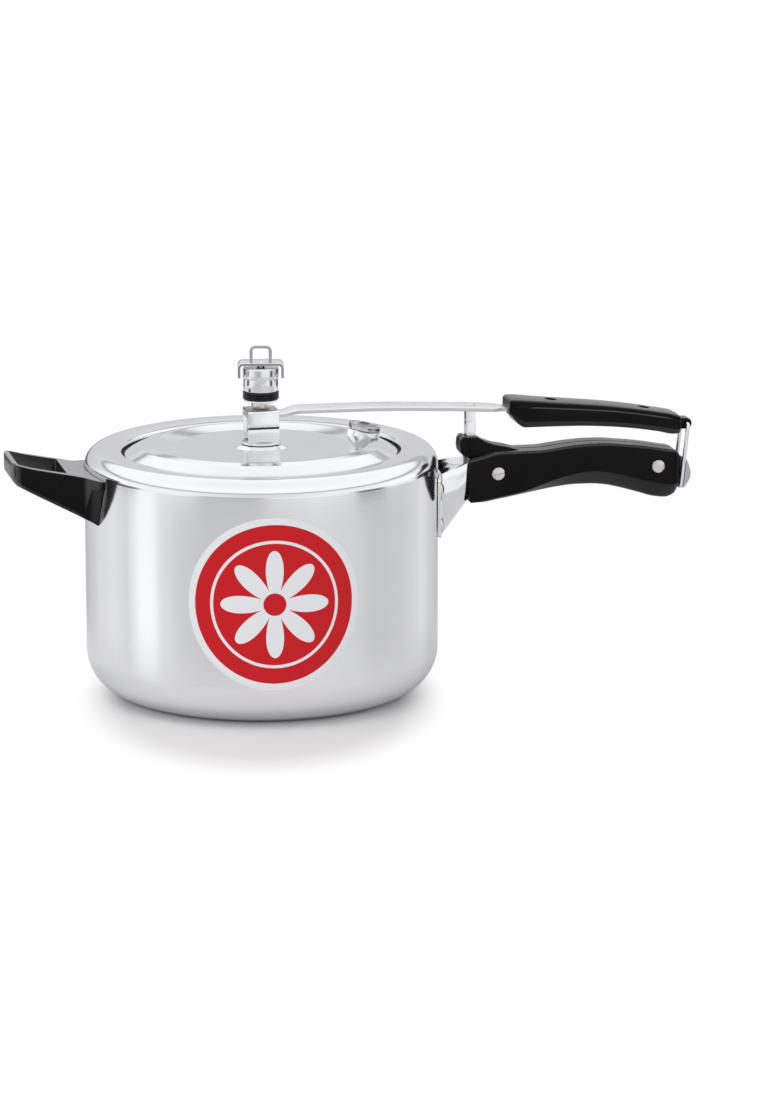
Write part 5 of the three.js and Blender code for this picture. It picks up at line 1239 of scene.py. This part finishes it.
floor_mesh = bpy.data.meshes.new("floor")
FLOOR_HALF = 9
FLOOR_Z = -0.0004
floor_corners = [(x * FLOOR_HALF, y * FLOOR_HALF, FLOOR_Z) for x, y in ((-1, -1), (1, -1), (1, 1), (-1, 1))]
floor_mesh.from_pydata(floor_corners, [], [(0, 1, 2, 3)])
floor = bpy.data.objects.new("floor", floor_mesh)
bpy.context.scene.collection.objects.link(floor)
floor_finish = bpy.data.materials.new("pale_floor")
floor_finish.use_nodes = True
tree = floor_finish.node_tree
tree.nodes.clear()
floor_spot = wire(tree, "ShaderNodeTexCoord").outputs["Object"]
floor_axes = wire(tree, "ShaderNodeSeparateXYZ", {0: floor_spot}).outputs
floor_reach = length(tree, floor_spot)
screens = surround_bands(tree, floor_axes["X"], floor_axes["Y"], far_steps)
to_far = spread(tree, floor_reach, 0.88, 0.95, curve="SMOOTHSTEP")
paper = wire(tree, "ShaderNodeBsdfDiffuse", {"Color": (0.82, 0.82, 0.825, 1)}).outputs[0]
white = wire(tree, "ShaderNodeEmission", {"Color": (1, 1, 1, 1), "Strength": 1.0}).outputs[0]
clear = wire(tree, "ShaderNodeBsdfTransparent", {"Color": (1, 1, 1, 1)}).outputs[0]
mirrored_far = wire(tree, "ShaderNodeEmission", {"Color": screens, "Strength": 1.0}).outputs[0]
mirrored = wire(tree, "ShaderNodeMixShader", {0: to_far, 1: clear, 2: mirrored_far}).outputs[0]
path = wire(tree, "ShaderNodeLightPath").outputs
shade_spot = wire(tree, "ShaderNodeMapping", {"Vector": floor_spot, "Location": (-0.006, -0.03, 0),
                                              "Rotation": (0, 0, math.radians(CAMERA_TURN)),
                                              "Scale": (1.6, 1, 1)}, vector_type="TEXTURE").outputs[0]
to_white = spread(tree, length(tree, shade_spot), 0.084, 0.12, curve="SMOOTHSTEP")
to_bands = spread(tree, floor_reach, 0.12, 0.32, curve="SMOOTHSTEP")
seen = worked(tree, "MAXIMUM", path["Is Camera Ray"], path["Is Transmission Ray"])
seen_white = worked(tree, "MULTIPLY", seen, to_white)
seen_bands = worked(tree, "MULTIPLY", path["Is Glossy Ray"], to_bands)
with_white = wire(tree, "ShaderNodeMixShader", {0: seen_white, 1: paper, 2: white}).outputs[0]
with_bands = wire(tree, "ShaderNodeMixShader", {0: seen_bands, 1: with_white, 2: mirrored}).outputs[0]
wire(tree, "ShaderNodeOutputMaterial", {"Surface": with_bands})
floor_mesh.materials.append(floor_finish)

world = bpy.data.worlds.new("studio")
bpy.context.scene.world = world
world.use_nodes = True
tree = world.node_tree
tree.nodes.clear()
sky_axes = wire(tree, "ShaderNodeSeparateXYZ",
                {0: wire(tree, "ShaderNodeTexCoord").outputs["Generated"]}).outputs
sky_bands = surround_bands(tree, sky_axes["X"], sky_axes["Y"], near_steps)
sky_low = surround_bands(tree, sky_axes["X"], sky_axes["Y"], low_steps)
sky_high = colour_steps(tree, sky_axes["Z"], [(0.0, (.74, .75, .765)), (0.26, (.72, .73, .75)),
                                              (0.355, (.84, .845, .855)), (0.385, (.36, .365, .38)),
                                              (0.42, (.36, .365, .38)), (0.45, (1.02, 1.02, 1.02)),
                                              (0.60, (1.1, 1.1, 1.1)), (0.85, (1.06, 1.06, 1.06)),
                                              (1.0, (1.0, 1.0, 1.0))])
to_high = spread(tree, sky_axes["Z"], 0.24, 0.35)
sky_height = mixed(tree, to_high, sky_low, sky_high)
path = wire(tree, "ShaderNodeLightPath").outputs
above = spread(tree, sky_axes["Z"], -0.06, 0.02)
sky_mirror = mixed(tree, above, sky_bands, sky_height)
lit = wire(tree, "ShaderNodeBackground", {"Color": (1, 1, 1, 1), "Strength": 0.70}).outputs[0]
white_sky = wire(tree, "ShaderNodeBackground", {"Color": (1, 1, 1, 1), "Strength": 1.0}).outputs[0]
mirror_sky = wire(tree, "ShaderNodeBackground", {"Color": sky_mirror, "Strength": 1.0}).outputs[0]
seen = worked(tree, "MAXIMUM", path["Is Camera Ray"], path["Is Transmission Ray"])
seen_or_lit = wire(tree, "ShaderNodeMixShader", {0: seen, 1: lit, 2: white_sky}).outputs[0]
all_rays = wire(tree, "ShaderNodeMixShader", {0: path["Is Glossy Ray"], 1: seen_or_lit,
                                              2: mirror_sky}).outputs[0]
wire(tree, "ShaderNodeOutputWorld", {"Surface": all_rays})

for name, spot, size, power in (("overhead", (-0.35, -0.25, 1.5), 1.1, 6.0),
                                ("front_left", (-1.4, -1.6, 1.1), 0.9, 4.0)):
    lamp_data = bpy.data.lights.new(name, "AREA")
    lamp_data.shape = "DISK"
    lamp_data.size = size
    lamp_data.energy = power
    lamp = bpy.data.objects.new(name, lamp_data)
    lamp.visible_glossy = False
    aim = (Vector((0.05, 0, 0.1)) - Vector(spot)).to_track_quat("-Z", "Y")
    lamp.matrix_world = Matrix.Translation(spot) @ aim.to_matrix().to_4x4()
    bpy.context.scene.collection.objects.link(lamp)

bpy.context.scene.view_settings.view_transform = "Standard"
